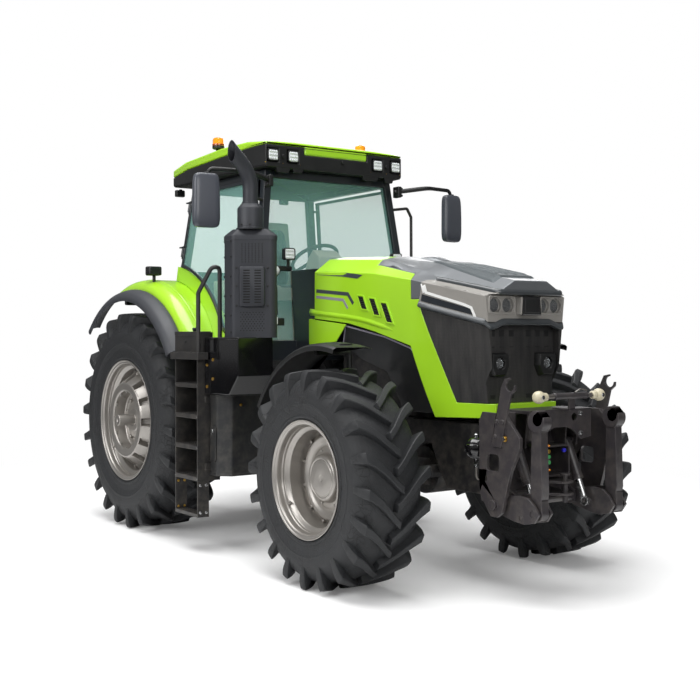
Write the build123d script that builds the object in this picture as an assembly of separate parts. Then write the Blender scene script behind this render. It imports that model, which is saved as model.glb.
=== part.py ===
"""Row-crop farm tractor with a cab, front three-point linkage and rear three-point linkage.

Millimetres. While modelling, X is measured forward from the front axle, Y to the left and Z up
from the ground; write_part() moves every piece so that the origin is on the ground at the middle
of the overall length. Pieces that come in pairs are modelled on the left (+Y) and mirrored.
"""

from build123d import *
import math
import os

# ---------------------------------------------------------------- driving dimensions
wheelbase = 2790
running_clearance = 0.05     # radial clearance of a shaft in its bearing
moving_gap = 6               # between pieces that pass each other

front_wheel_radius = 700     # to the lug tips, as it stands under load
front_tyre_width = 500
front_half_track = 908
rear_wheel_radius = 905
rear_tyre_width = 524
rear_half_track = 880

front_rim_flange_radius = 381
front_rim_width = 478
rear_rim_flange_radius = 508
rear_rim_width = 484
rim_wall = 10

kingpin_offset = 735         # |Y| of the steering axis
kingpin_radius = 35
front_spindle_radius = 60
rear_shaft_radius = 46

frame_half_width = 235
frame_bottom = 610
frame_top = 1050

bonnet_hinge_x = -930
bonnet_hinge_z = 2150
bonnet_wall = 12
shield_wall = 8

cab_sill_z = 1500
cab_eaves_z = 2895
cab_sill_half_width = 775
cab_eaves_half_width = 600
a_post_sill_x = -1260
a_post_eaves_x = -1375
c_post_sill_x = -2625
c_post_eaves_x = -2500
post_size = 62
floor_wall = 70
cowl_half_width = 400        # of the bulkhead between the bonnet and the cab
cowl_top_z = 2115
cowl_front_x = -966
windscreen_foot_z = 1580
door_sill_z = 1650
door_wall = 30
door_edge = 40               # rear edge of a door, forward of the C post line
door_lap = 45                # front edge of a door, forward of the A post line
door_frame_width = 24
door_fender_gap = 130        # between the door's round lower edge and the fender
panel_gap = 8
glass_wall = 8

hitch_plate_y = 410
hitch_plate_wall = 25
front_lift_pivot = (960, 600)
front_link_pivot = (1245, 575)
front_link_y = 320
front_arm_spacing = 52       # from a link's middle to the arm plate beside it
front_cylinder_y = 218
cylinder_anchor = (945, 955)
cylinder_eye = (1100, 588)
cylinder_radius = 32
eye_slack = 6                # the eye floats on its pin, since the linkage is opened there
front_link_length = 600
claw_radius = 66
front_lift_pin_radius = 30
front_link_pin_radius = 20
cylinder_pin_radius = 18
cylinder_rod_radius = 20
pto_radius = 17.5

rear_arm_pivot = (-3105, 1230)
rear_link_pivot = (-3000, 560)
rear_arm_length = 400
rear_link_length = 900
rear_link_root_y = 240
rear_pin_radius = 20
rocker_radius = 38
rear_link_tip_y = 435
rear_eye_radius = 46
rear_eye_bore = 18.5
rear_rod_y = 347
rear_rod_eye = (36, 30)      # radius and width of a lift rod's eyes
rod_pin_radius = 18
drawbar_bore = 16

fender_body_radius = 1190
fender_inner_y = 596
fender_outer_y = 1020
fender_wall = 16
flare_outer_y = 1150
flare_wall = 14
fender_start_angle = 34      # degrees, counted from forward up
fender_end_angle = 113
flare_end_angle = 134

front_fender_radius = 862
front_fender_inner_y = 745
front_fender_outer_y = 1050
front_fender_wall = 8

front_axle = (0, front_wheel_radius)
rear_axle = (-wheelbase, rear_wheel_radius)
front_reach = front_link_pivot[0] + claw_radius
rear_reach = rear_link_pivot[0] - rear_link_length - rear_eye_radius
origin_x = (front_reach + rear_reach) / 2


# ---------------------------------------------------------------- shape helpers
def side_plate(outline, y, thickness):
    """Plate with an (x, z) outline, centred on y."""
    face = make_face(Polyline([(x, y, z) for x, z in outline], close=True))
    return extrude(face, amount=thickness / 2, dir=(0, 1, 0), both=True)


def cross_plate(outline, x, thickness):
    """Plate with a (y, z) outline, centred on x."""
    face = make_face(Polyline([(x, y, z) for y, z in outline], close=True))
    return extrude(face, amount=thickness / 2, dir=(1, 0, 0), both=True)


def plan_plate(outline, z, thickness):
    """Plate with an (x, y) outline, its underside at z."""
    face = make_face(Polyline([(x, y, z) for x, y in outline], close=True))
    return extrude(face, amount=thickness, dir=(0, 0, 1))


def block(x_range, y_range, z_range):
    """Rectangular block between the given limits."""
    low = [min(r) for r in (x_range, y_range, z_range)]
    size = [abs(r[1] - r[0]) for r in (x_range, y_range, z_range)]
    return Pos(*low) * Box(*size, align=(Align.MIN, Align.MIN, Align.MIN))


def rod(start, end, radius):
    """Round bar from start to end."""
    along = Vector(*end) - Vector(*start)
    return Plane(origin=start, z_dir=along) * Cylinder(
        radius, along.length, align=(Align.CENTER, Align.CENTER, Align.MIN)
    )


def cross_rod(x, z, y_range, radius):
    """Round bar along Y."""
    return rod((x, min(y_range), z), (x, max(y_range), z), radius)


def bar(start, end, width, depth):
    """Rectangular bar from start to end; width runs along Y where it can."""
    along = Vector(*end) - Vector(*start)
    across = Vector(0, 1, 0)
    if abs(along.normalized().Y) > 0.9:
        across = Vector(1, 0, 0)
    plane = Plane(origin=start, x_dir=across - along * (across.dot(along) / along.dot(along)), z_dir=along)
    return plane * Box(width, depth, along.length, align=(Align.CENTER, Align.CENTER, Align.MIN))


def bent_tube(points, radius, bend):
    """Round tube along points, with every corner bent to the same radius."""
    path = FilletPolyline(*points, radius=bend)
    section = Plane(origin=path @ 0, z_dir=path % 0) * Circle(radius)
    return sweep(section, path=path)


def turned(profile):
    """Solid of revolution about the Y axis from (radius, y) points."""
    return revolve(make_face(Polyline([(r, y, 0) for r, y in profile], close=True)), Axis.Y)


def mirrored(part):
    """The same piece on the other side of the tractor."""
    return mirror(part, about=Plane.XZ)


def about_axle(profile, axle, start, end):
    """Closed (y, radius) profile turned about an axle, between two angles counted from forward up."""
    a = math.radians(start)
    cx, cz = axle
    corners = [(cx + r * math.cos(a), y, cz + r * math.sin(a)) for y, r in profile]
    return revolve(make_face(Polyline(corners, close=True)), Axis((cx, 0, cz), (0, -1, 0)), end - start)


def leaning_plate(outline, y_at, thickness):
    """Plate with an (x, z) outline whose y follows the height."""
    face = make_face(Polyline([(x, y_at(z), z) for x, z in outline], close=True))
    return extrude(face, amount=thickness, dir=(0, 1, 0))


def at_axle(part, axle, y):
    """Piece modelled about a wheel centre, moved to its axle."""
    return Pos(axle[0], y, axle[1]) * part


parts = {}


def write_part(name, *solids):
    """Moves the solids to the tractor's own origin and writes them as one node."""
    moved = [Pos(-origin_x, 0, 0) * s for s in solids]
    flat = [s for m in moved for s in m.solids()]
    parts[name] = Compound(children=flat) if len(flat) > 1 else flat[0]


# ---------------------------------------------------------------- wheels
def fan(corners):
    """Triangles of a convex polygon, all from its first corner."""
    return [(corners[0], b, c) for b, c in zip(corners[1:], corners[2:])]


def tyre(radius, width, bead_radius, bead_width, lug_height, lug_wall, lugs):
    """Lugged drive tyre about its own centre: bars in a chevron, half a pitch apart side to side.

    Every corner lies on one of five rows between the centre line and the bead, so bars, grooves
    and sidewalls share their edges and the tyre is one closed skin of flat triangles.
    """
    half = width / 2
    tread = radius - lug_height
    pitch = 2 * math.pi / lugs
    bead = bead_radius / math.cos(pitch / 2)
    belly = tread - 0.30 * (tread - bead)
    lean = 0.76 * half / radius
    past_centre = 0.07 * half
    foot = 1.3 * lug_wall / 2 / radius
    crest = lug_wall / 2 / radius
    rows = {  # name: (radius, y, lag, half angle)
        "centre": (tread, -past_centre, 0.0, foot),
        "middle": (tread, 0.46 * half, 0.66 * lean, foot),
        "shoulder": (tread - 8, 0.80 * half, 1.04 * lean, 1.08 * foot),
        "belly": (belly, half, 1.20 * lean, 1.2 * foot),
        "top_centre": (radius, -past_centre, 0.0, crest),
        "top_middle": (radius, 0.46 * half, 0.66 * lean, crest),
        "top_end": (radius - 8, 0.94 * half, 1.12 * lean, 1.15 * crest),
        "bead": (bead, bead_width / 2, 1.20 * lean, 0.0),
    }

    def corner(row, side, k, edge=0):
        r, y, lag, spread = rows[row]
        a = (k + (0.5 if side < 0 else 0.0)) * pitch + lag + edge * spread
        return (r * math.cos(a), side * y, r * math.sin(a))

    triangles = []
    for k in range(lugs):
        for side in (1, -1):
            def at(row, edge=0, step=0, side=side, k=k):
                return corner(row, side, k + step, edge)

            across = k if side > 0 else k + 1
            skin = []
            skin += fan([at("centre", 1), corner("centre", -side, across, -1), corner("centre", -side, across, 1),
                         at("centre", -1, 1), at("middle", -1, 1), at("middle", 1)])
            skin += fan([at("middle", 1), at("middle", -1, 1), at("shoulder", -1, 1), at("shoulder", 1)])
            skin += fan([at("shoulder", 1), at("shoulder", -1, 1), at("belly", -1, 1), at("belly", 1)])
            skin += fan([at("belly", 1), at("belly", -1, 1), at("bead", 0, 1), at("bead")])
            skin += fan([at("belly", -1), at("belly", 1), at("bead")])
            for edge in (-1, 1):
                wall = fan([at("centre", edge), at("middle", edge), at("top_middle", edge), at("top_centre", edge)])
                wall += fan([at("top_middle", edge), at("middle", edge), at("shoulder", edge), at("belly", edge), at("top_end", edge)])
                skin += wall if edge > 0 else [t[::-1] for t in wall]
            skin += fan([at("top_centre", -1), at("top_centre", 1), at("top_middle", 1), at("top_middle", -1)])
            skin += fan([at("top_middle", -1), at("top_middle", 1), at("top_end", 1), at("top_end", -1)])
            skin += fan([at("centre", -1), at("centre", 1), at("top_centre", 1), at("top_centre", -1)])
            skin += fan([at("top_end", -1), at("top_end", 1), at("belly", 1), at("belly", -1)])
            triangles += skin if side < 0 else [t[::-1] for t in skin]
        triangles += fan([corner("bead", -1, k), corner("bead", -1, k + 1), corner("bead", 1, k + 1), corner("bead", 1, k)])
    return Solid(Shell([Face(Wire.make_polygon(t, close=True)) for t in triangles]))


def rim_barrel(flange_radius, width, well_radius):
    """Drop-centre rim, outer flange towards +Y."""
    half = width / 2
    seat = flange_radius - 25
    outer = [
        (flange_radius, half), (seat, half - 14), (seat - 7, half - 58), (well_radius, half - 92),
        (well_radius, -half + 150), (seat - 7, -half + 58), (seat, -half + 14), (flange_radius, -half),
    ]
    inner = [(r - rim_wall, y) for r, y in reversed(outer)]
    return turned(outer + inner)


def front_wheel_centre(well_radius):
    """Bolted disc, planetary hub and its bore for the spindle."""
    disc = turned([(well_radius - 4, 20), (290, 34), (262, 52), (205, 58), (205, 46), (258, 40), (284, 22), (well_radius - 4, 6)])
    hub = turned([(front_spindle_radius + running_clearance, 8), (front_spindle_radius + running_clearance, 70),
                  (0, 70), (0, 104), (140, 104), (150, 94), (150, 58), (212, 58), (212, 44), (166, 40), (166, 8)])
    nuts = [Rot(0, 30 * k, 0) * Pos(300, 24, 0) * Rot(90, 0, 0) * Cylinder(13, 34) for k in range(12)]
    return disc + hub + nuts


rear_drum_face = 240
rear_drum_slots = 12


def rear_wheel_centre(well_radius):
    """Cast wheel centre with its slotted cone, hub and the bar axle that turns with it."""
    face = rear_drum_face
    drum = turned([(well_radius - 4, 70), (410, 104), (318, face - 8), (304, face), (250, face), (241, face - 8), (241, 128), (150, 118),
                   (150, 96), (264, 104), (264, face - 32), (300, face - 32), (388, 88), (well_radius - 4, 50)])
    windows = [Rot(0, 360 / rear_drum_slots * k, 0) * Pos(376, 150, 0) * Box(86, 120, 46) for k in range(rear_drum_slots)]
    hub = turned([(0, 306), (rear_shaft_radius, 306), (rear_shaft_radius, 160), (96, 152), (152, 126), (152, 84),
                  (96, 70), (rear_shaft_radius, 60), (rear_shaft_radius, -250), (0, -250)])
    nuts = [Rot(0, 36 * k, 0) * Pos(190, 124, 0) * Rot(90, 0, 0) * Cylinder(15, 44) for k in range(10)]
    return drum - windows + hub + nuts


def wheels():
    front_well = front_rim_flange_radius - 62
    rear_well = rear_rim_flange_radius - 66
    front_tyre = tyre(front_wheel_radius, front_tyre_width, front_rim_flange_radius - 25, front_rim_width - 30, 42, 50, 20)
    rear_tyre = tyre(rear_wheel_radius, rear_tyre_width, rear_rim_flange_radius - 25, rear_rim_width - 30, 46, 56, 22)
    front_rim = rim_barrel(front_rim_flange_radius, front_rim_width, front_well) + front_wheel_centre(front_well)
    rear_rim = rim_barrel(rear_rim_flange_radius, rear_rim_width, rear_well) + rear_wheel_centre(rear_well)
    for end, axle, track, rubber, rim in (
        ("front", front_axle, front_half_track, front_tyre, front_rim),
        ("rear", rear_axle, rear_half_track, rear_tyre, rear_rim),
    ):
        placed_tyre = at_axle(rubber, axle, track)
        placed_rim = at_axle(rim, axle, track)
        write_part(f"tyre_{end}_left", placed_tyre)
        write_part(f"tyre_{end}_right", mirrored(placed_tyre))
        write_part(f"rim_{end}_left", placed_rim)
        write_part(f"rim_{end}_right", mirrored(placed_rim))


# ---------------------------------------------------------------- axles and steering
yoke_gap_low, yoke_gap_high = -150, 150      # knuckle height about the hub


def front_axle_beam():
    z = front_axle[1]
    centre = rod((0, -165, z), (0, 165, z), 165) + rod((-190, 60, z), (20, 60, z), 85)
    beam = cross_plate([(-560, z - 62), (-165, z - 100), (165, z - 100), (560, z - 62),
                        (560, z + 62), (165, z + 80), (-165, z + 80), (-560, z + 62)], 0, 150)
    body = centre + beam
    for s in (1, -1):
        for level, wall in ((yoke_gap_high + moving_gap, 38), (yoke_gap_low - moving_gap - 38, 38)):
            body += block((-55, 55), (s * 590, s * (kingpin_offset + 50)), (z + level, z + level + wall))
        body += block((-70, 70), (s * 540, s * 602), (z + yoke_gap_low - moving_gap - 38, z + yoke_gap_high + moving_gap + 38))
        for a, b in ((yoke_gap_high - 40, yoke_gap_high + moving_gap + 44), (yoke_gap_low - moving_gap - 44, yoke_gap_low + 40)):
            body += rod((0, s * kingpin_offset, z + a), (0, s * kingpin_offset, z + b), kingpin_radius)
    body += rod((150, -250, z + 4), (150, 250, z + 4), 42)
    body += block((60, 150), (-60, 60), (z - 30, z + 40))
    pivot_top = block((-90, 90), (-70, 70), (z + 60, frame_top - 30))
    return body + pivot_top


def knuckle():
    """Left knuckle: swivel housing round the kingpins, hub spindle and steering arm."""
    z = front_axle[1]
    y = kingpin_offset
    body = rod((0, y, z + yoke_gap_low), (0, y, z + yoke_gap_high), 80)
    body += cross_rod(0, z, (y, front_half_track - 2), 148) - cross_rod(0, z, (y - 20, y - 80), 200)
    body += cross_rod(0, z, (front_half_track - 10, front_half_track + 60), front_spindle_radius)
    body += bar((20, y - 40, z + 30), (170, y - 25, z + 30), 60, 40)
    for a, b in ((yoke_gap_high - 44, yoke_gap_high + 1), (yoke_gap_low - 1, yoke_gap_low + 44)):
        body -= rod((0, y, z + a), (0, y, z + b), kingpin_radius + running_clearance)
    return body


def front_fender():
    """Left front mudguard: a round sheet with a turned-down lip, on a stay beside the tyre."""
    inner, outer, r, w = front_fender_inner_y, front_fender_outer_y, front_fender_radius, front_fender_wall
    profile = [(inner, r - 10), (inner + 40, r), (outer - 22, r), (outer, r - 14), (outer, r - 44), (outer - w, r - 44),
               (outer - w, r - 14 - w / 2), (outer - 22 - w / 2, r - w), (inner + 40, r - w), (inner, r - 10 - w)]
    sheet = about_axle(profile, front_axle, 77, 150)
    rib = about_axle([(inner + 90, r), (inner + 110, r + 9), (outer - 110, r + 9), (outer - 90, r)], front_axle, 82, 144)
    stay_x, stay_y, foot_z = -235, 616, front_axle[1] + 24
    under = front_axle[1] + math.sqrt((r - w) ** 2 - stay_x ** 2) - 20
    stay = bent_tube([(-84, kingpin_offset - 30, foot_z), (-185, kingpin_offset - 45, foot_z), (stay_x, stay_y, foot_z + 40),
                      (stay_x, stay_y, under), (stay_x, inner + 150, under)], 20, 24)
    return sheet + rib + stay


def rear_axle_housing():
    z = rear_axle[1]
    x = rear_axle[0]
    trumpet = turned([(0, 225), (215, 225), (205, 300), (150, 380), (128, 560), (150, 572), (150, 600),
                      (rear_shaft_radius + running_clearance, 600), (rear_shaft_radius + running_clearance, 560), (0, 560)])
    left = Pos(x, 0, z) * (trumpet - cross_rod(0, 0, (500, 640), rear_shaft_radius + running_clearance))
    return left, mirrored(left)


def axles():
    write_part("front_axle", front_axle_beam())
    write_part("knuckle_left", knuckle())
    write_part("knuckle_right", mirrored(knuckle()))
    write_part("front_fender_left", front_fender())
    write_part("front_fender_right", mirrored(front_fender()))
    write_part("rear_axle", *rear_axle_housing())


# ---------------------------------------------------------------- frame, engine and transmission
def front_frame():
    """Front bolster and the two frame rails."""
    rail_wall = 40
    outline = [(-880, 760), (-880, frame_top), (840, frame_top), (840, frame_bottom), (330, frame_bottom),
               (250, 720), (170, 890), (-170, 890), (-260, 760)]
    y = frame_half_width - rail_wall / 2
    body = side_plate(outline, y, rail_wall) + side_plate(outline, -y, rail_wall)
    body += block((330, 840), (-y, y), (frame_bottom, frame_bottom + 60))
    body += block((780, 840), (-y, y), (frame_bottom, frame_top))
    body += block((-120, 120), (-y, y), (frame_top - 30, frame_top))
    body += block((-120, -880), (-y, y), (frame_top - 30, frame_top))
    return body


def gearbox():
    """Transmission and differential housing, with the rear linkage's rocker bearings and lower pins."""
    outline = [(-905, 620), (-905, 1190), (-1500, 1190), (-2400, 1330), (-3060, 1330), (-3060, 540), (-1900, 540), (-1500, 500)]
    body = side_plate(outline, 0, 2 * 210)
    body += cross_rod(rear_axle[0], rear_axle[1], (-224, 224), 214)
    body += cross_rod(*rear_link_pivot, (-262, 262), rear_pin_radius)
    body += rod((-3060, 0, 760), (-3150, 0, 760), pto_radius)
    ax, az = rear_arm_pivot
    for y in (-180, 180):
        body += side_plate([(-3050, az - 90), (-3050, az + 90), (ax - 30, az + 62), (ax - 62, az), (ax - 30, az - 62)], y, 50)
    body -= cross_rod(ax, az, (-240, 240), rocker_radius + running_clearance)
    return body - cross_rod(ax, az, (-155, 155), rocker_radius + moving_gap)


def powertrain():
    write_part("front_frame", front_frame())
    write_part("engine_block", block((-880, 280), (-205, 205), (frame_top + 2, 1760)))
    write_part("gearbox_housing", gearbox())


# ---------------------------------------------------------------- tanks, steps
ladder_y = 1160
ladder_depth = 190
ladder_x = (-1765, -1400)
lower_step_depth = 96
tank_front_x = -1210
tank_bevel = 84
platform_z = 1440
platform_wall = 52
side_box_y = (815, 1105)
side_box_x = (-1390, -895)
side_box_top = 1600
side_box_platform_x = -1404
rail_radius = 16


def side_tank():
    """Left tank with bevelled corners, and the black box above it."""
    behind_ladder = ladder_y - ladder_depth
    back, ladder_front = ladder_x[0] - 5, ladder_x[1] + panel_gap
    tank = plan_plate([(back, 640), (tank_front_x, 640), (tank_front_x, 1060 - tank_bevel), (tank_front_x - tank_bevel, 1060),
                       (ladder_front, 1060), (ladder_front, behind_ladder), (back, behind_ladder)], 580, 600)
    tank = fillet(tank.edges().filter_by(Axis.Z).sort_by(Axis.X)[-3:], 40)
    y0, y1 = side_box_y
    x0, x1 = side_box_x
    outline = [(x0, 1190), (x1 - 130, 1190), (x1, 1330), (x1, side_box_top), (x0, side_box_top)]
    return tank, side_plate(outline, (y0 + y1) / 2, y1 - y0)


def ladder():
    """Left steps: two stiles, treads, the bolted lower step, the platform and the box that stands on it."""
    x0, x1 = ladder_x
    y0, y1 = ladder_y - ladder_depth, ladder_y
    top = platform_z + platform_wall
    stile, tread = 12, 32
    fender_front = rear_axle[0] + fender_body_radius * math.cos(math.radians(fender_start_angle)) + panel_gap
    body = block((x0 - 4, side_box_platform_x), (fender_outer_y + panel_gap, y1 + 40), (platform_z, top))
    body += block((fender_front, side_box_platform_x), (side_box_y[0], y1), (platform_z, top))
    body += block((side_box_platform_x - 1, side_box_platform_x + 86), (side_box_y[1] + panel_gap, y1 + 40), (platform_z, top))
    body += block((x0, side_box_platform_x), (fender_outer_y + panel_gap, y1), (top, door_sill_z - panel_gap))
    for x in (x0 + stile / 2, x1 - stile / 2):
        body += block((x - stile / 2, x + stile / 2), (y0, y1), (540, platform_z))
        body += block((x - 5, x + 5), (y1 - lower_step_depth, y1), (270, 560))
    for z in (560, 790, 1020, 1250):
        body += block((x0, x1), (y0, y1), (z - 22, z - 22 + tread))
    body += block((x0, x1), (y1 - lower_step_depth, y1), (270, 296))
    return body


def handrails():
    """Left grab rails: one in front of the door opening, one down the A post."""
    top = platform_z + platform_wall
    out = ladder_y + 18
    foot_x = side_box_platform_x + 52
    front = bent_tube([(foot_x, out, top), (foot_x, out, 1931), (-1215, 1120, 2150),
                       (-1235, 1062, 2100), (-1235, 1062, side_box_top)], rail_radius, 40)
    upper, lower = 2662, 2160
    x = a_post_x(upper) + 30
    reach = cab_sill_half_width + 40
    post = bent_tube([(x - 20, side_y(upper) - 10, upper - 10), (x, reach - 44, upper + 10), (x, reach, upper - 60), (x, reach, lower + 50),
                      (x, reach - 30, lower), (x, side_y(lower) - 10, lower)], rail_radius - 4, 16)
    return front, post - a_post()


def sides():
    tank, top = side_tank()
    write_part("side_tanks", tank, mirrored(tank))
    write_part("side_boxes", top, mirrored(top))
    write_part("ladders", ladder(), mirrored(ladder()))
    front, post = handrails()
    write_part("handrails", front, post, mirrored(front), mirrored(post))


# ---------------------------------------------------------------- cab
hinge_heights = (2320, 2700)     # of the door hinges
hinge_pin_radius = 7
hinge_barrel_radius = 15
hinge_gap = 3
bonnet_ear_y = 270
bonnet_sill_y = (436, 444)


def side_y(z):
    """Half width of the cab side at a height."""
    share = (z - cab_sill_z) / (cab_eaves_z - cab_sill_z)
    return cab_sill_half_width + share * (cab_eaves_half_width - cab_sill_half_width)


def a_post_x(z):
    share = (z - cab_sill_z) / (cab_eaves_z - cab_sill_z)
    return a_post_sill_x + share * (a_post_eaves_x - a_post_sill_x)


def c_post_x(z):
    share = (z - cab_sill_z) / (cab_eaves_z - cab_sill_z)
    return c_post_sill_x + share * (c_post_eaves_x - c_post_sill_x)


def door_hinge_line(z):
    """Point on the left door's hinge axis: its rear edge, on the outer face."""
    return (c_post_x(z) + door_edge, side_y(z) + moving_gap + door_wall, z)


def hinge_barrel(z, length, radius):
    """Cylinder along the left door's hinge axis, centred at a height."""
    axis = (Vector(*door_hinge_line(z + 1)) - Vector(*door_hinge_line(z))).normalized()
    middle = Vector(*door_hinge_line(z))
    return rod(middle - axis * (length / 2), middle + axis * (length / 2), radius)


def hinge_bracket(z, gap):
    """Block from the C post to the hinge axis above a barrel, grown by a gap where it notches the door."""
    x, y, _ = door_hinge_line(z + 46)
    reach = 10 + 2 * gap
    return block((x - door_edge - post_size / 2, x + reach), (side_y(z) - 20, y + reach), (z + 41 - gap, z + 53 + gap))


def door_hinge_pin(z):
    """Pin and its bracket on the C post."""
    return hinge_barrel(z, 110, hinge_pin_radius) + hinge_bracket(z, 0)


def a_post():
    """Left front post, from the floor to the roof."""
    half, floor_z = post_size / 2, cab_sill_z - floor_wall
    foot, head = (a_post_x(floor_z), floor_z), (a_post_x(cab_eaves_z + 20), cab_eaves_z + 20)
    post = bar((foot[0], side_y(foot[1]) - half, foot[1]), (head[0], side_y(head[1]) - half, head[1]), post_size, post_size)
    return post - block((-2000, -1000), (0, 1000), (cab_eaves_z, cab_eaves_z + 100))


def cab_frame():
    """Hollow cab: posts, headers, floor, bulkhead and rear lower wall."""
    half = post_size / 2
    wheelhouse = rear_axle[0] + rear_wheel_radius + 25
    waist = fender_inner_y - moving_gap
    x0, x1 = c_post_sill_x, a_post_sill_x + 30
    sill = cab_sill_half_width
    floor_z = cab_sill_z - floor_wall
    body = plan_plate([(x0, -waist), (wheelhouse, -waist), (wheelhouse, -sill), (x1, -sill), (x1, sill), (wheelhouse, sill),
                       (wheelhouse, waist), (x0, waist)], floor_z, floor_wall)
    c_foot = rear_axle[1] + fender_body_radius
    for s in (1, -1):
        def p(x, z, s=s):
            return (x, s * (side_y(z) - half), z)
        body += bar(p(c_post_x(c_foot), c_foot + 12), p(c_post_eaves_x, cab_eaves_z), post_size, post_size)
        body += bar(p(a_post_eaves_x - 20, cab_eaves_z - half), p(c_post_eaves_x, cab_eaves_z - half), post_size, post_size)
    for x in (a_post_eaves_x, c_post_eaves_x):
        y = cab_eaves_half_width - half
        body += block((x - half, x + half), (-y, y), (cab_eaves_z - post_size, cab_eaves_z))
    cx = c_post_x(c_foot)
    y = side_y(c_foot) - 10
    body += block((cx - half, cx + half), (-y, y), (c_foot + 8, c_foot + 70))
    body += block((cx - half, cx + half), (-waist, waist), (floor_z, c_foot + 10))
    for piece in [a_post()] + [door_hinge_pin(z) for z in hinge_heights]:
        body += [piece, mirrored(piece)]
    return (body + bulkhead()) - block((-3000, -1000), (-900, 900), (cab_eaves_z, cab_eaves_z + 100))


def bulkhead():
    """Black box between the bonnet and the windscreen, with the bonnet's hinge pins."""
    floor_z = cab_sill_z - floor_wall
    rear_x = a_post_x(cowl_top_z) + glass_wall + 4
    side = [(a_post_sill_x + 30, floor_z), (cowl_front_x, floor_z), (cowl_front_x, cowl_top_z), (rear_x, cowl_top_z),
            (a_post_x(windscreen_foot_z) + glass_wall + 4, windscreen_foot_z)]
    box = side_plate(side, 0, 2 * cowl_half_width)
    foot = block((a_post_sill_x, a_post_sill_x + 40), (-cab_sill_half_width + post_size, cab_sill_half_width - post_size),
                 (floor_z, windscreen_foot_z - 4))
    box += foot
    for y in (-bonnet_ear_y, bonnet_ear_y):
        inner = y - math.copysign(30, y)
        arm = side_plate([(cowl_front_x - 40, cowl_top_z - 60), (cowl_front_x, cowl_top_z - 60), (bonnet_hinge_x + 18, bonnet_hinge_z - 12),
                          (bonnet_hinge_x + 18, bonnet_hinge_z + 18), (bonnet_hinge_x - 24, bonnet_hinge_z + 18)], inner, 14)
        box += arm + cross_rod(bonnet_hinge_x, bonnet_hinge_z, (inner, y + math.copysign(12, y)), hinge_pin_radius)
    return box


def cab_side_plane():
    """Plane of the left cab side: X forward, its own Y up the side."""
    lean = math.atan2(cab_sill_half_width - cab_eaves_half_width, cab_eaves_z - cab_sill_z)
    return Plane(origin=(0, cab_sill_half_width, cab_sill_z), x_dir=(1, 0, 0), z_dir=(0, -math.cos(lean), -math.sin(lean)))


def in_side_plane(x, z):
    """Coordinates in the side plane of a point at x and height z."""
    fall = cab_sill_half_width - cab_eaves_half_width
    return (x, (z - cab_sill_z) * math.hypot(fall, cab_eaves_z - cab_sill_z) / (cab_eaves_z - cab_sill_z))


def over_fender(radius, x):
    """Height of a circle round the rear axle at x."""
    return rear_axle[1] + math.sqrt(radius ** 2 - (x - rear_axle[0]) ** 2)


def fender_arc(radius, start_x, end_x):
    """Arc round the rear axle in the side plane, between two places along X."""
    points = [in_side_plane(x, over_fender(radius, x)) for x in (start_x, (start_x + 0.45 * (end_x - start_x)), end_x)]
    return ThreePointArc(*points)


def closed_outline(*points_and_arcs):
    """Face bounded by the given arcs and by straight lines between them and the given points."""
    edges = []
    last = first = None
    for item in points_and_arcs:
        start, end = (item @ 0, item @ 1) if isinstance(item, Edge) else (Vector(*item), Vector(*item))
        if last is not None and (start - last).length > 0.01:
            edges.append(Line(last, start))
        if isinstance(item, Edge):
            edges.append(item)
        first = start if first is None else first
        last = end
    return make_face(edges + [Line(last, first)])


def side_sheet(face, outset, wall):
    """Sheet parallel to the left cab side, its inner face outset from it."""
    plane = cab_side_plane()
    return extrude(plane * (Pos(0, 0, -outset) * face), amount=wall, dir=tuple(-c for c in plane.z_dir))


def door_face():
    """Outline of the left door in the side plane: three straight sides and a round lower rear edge."""
    top = cab_eaves_z - post_size - 12
    r = fender_body_radius + door_fender_gap
    rear_x = c_post_x(over_fender(r, c_post_sill_x + door_edge)) + door_edge
    foot_x = rear_axle[0] + math.sqrt(r ** 2 - (door_sill_z - rear_axle[1]) ** 2)
    return closed_outline(in_side_plane(a_post_x(door_sill_z) - door_lap, door_sill_z), in_side_plane(a_post_x(top) - door_lap, top),
                          in_side_plane(c_post_x(top) + door_edge, top), fender_arc(r, rear_x, foot_x))


def door():
    """Left door: its frame with hinge barrels, and its pane."""
    whole = door_face()
    glass = offset(whole, amount=-door_frame_width, kind=Kind.INTERSECTION)
    ring = side_sheet(whole - glass, moving_gap, door_wall)
    pane = side_sheet(glass, moving_gap + 10, glass_wall)
    for z in hinge_heights:
        ring += hinge_barrel(z, 76, hinge_barrel_radius)
        ring -= hinge_barrel(z, 130, hinge_pin_radius + running_clearance)
        ring -= hinge_bracket(z, hinge_gap)
    return ring, pane


def cab_lower_panel():
    """Green panel between the door and the rear fender, running forward under the door as the sill."""
    r_out = fender_body_radius + door_fender_gap - panel_gap
    r_in = fender_body_radius + 2
    top = door_sill_z - panel_gap
    low = cab_sill_z - floor_wall
    rear_x = c_post_sill_x + 20
    foot_out = rear_axle[0] + math.sqrt(r_out ** 2 - (top - rear_axle[1]) ** 2)
    foot_in = rear_axle[0] + math.sqrt(r_in ** 2 - (low - rear_axle[1]) ** 2)
    front = a_post_x(top) - 4
    face = closed_outline(fender_arc(r_out, rear_x, foot_out), in_side_plane(front, top), in_side_plane(front, low),
                          fender_arc(r_in, foot_in, rear_x))
    return side_sheet(face, 1, 22)


def bonnet_sill():
    """Left fixed panel under the bonnet's rear end, carried on the bulkhead by a return flange."""
    y0, y1 = bonnet_sill_y
    panel = side_plate([(-985, 1548), (-985, 1737), (-512, 1692), (-636, 1569)], (y0 + y1) / 2, y1 - y0)
    return panel + block((-986, cowl_front_x), (cowl_half_width, y1), (1548, 1737))


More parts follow.
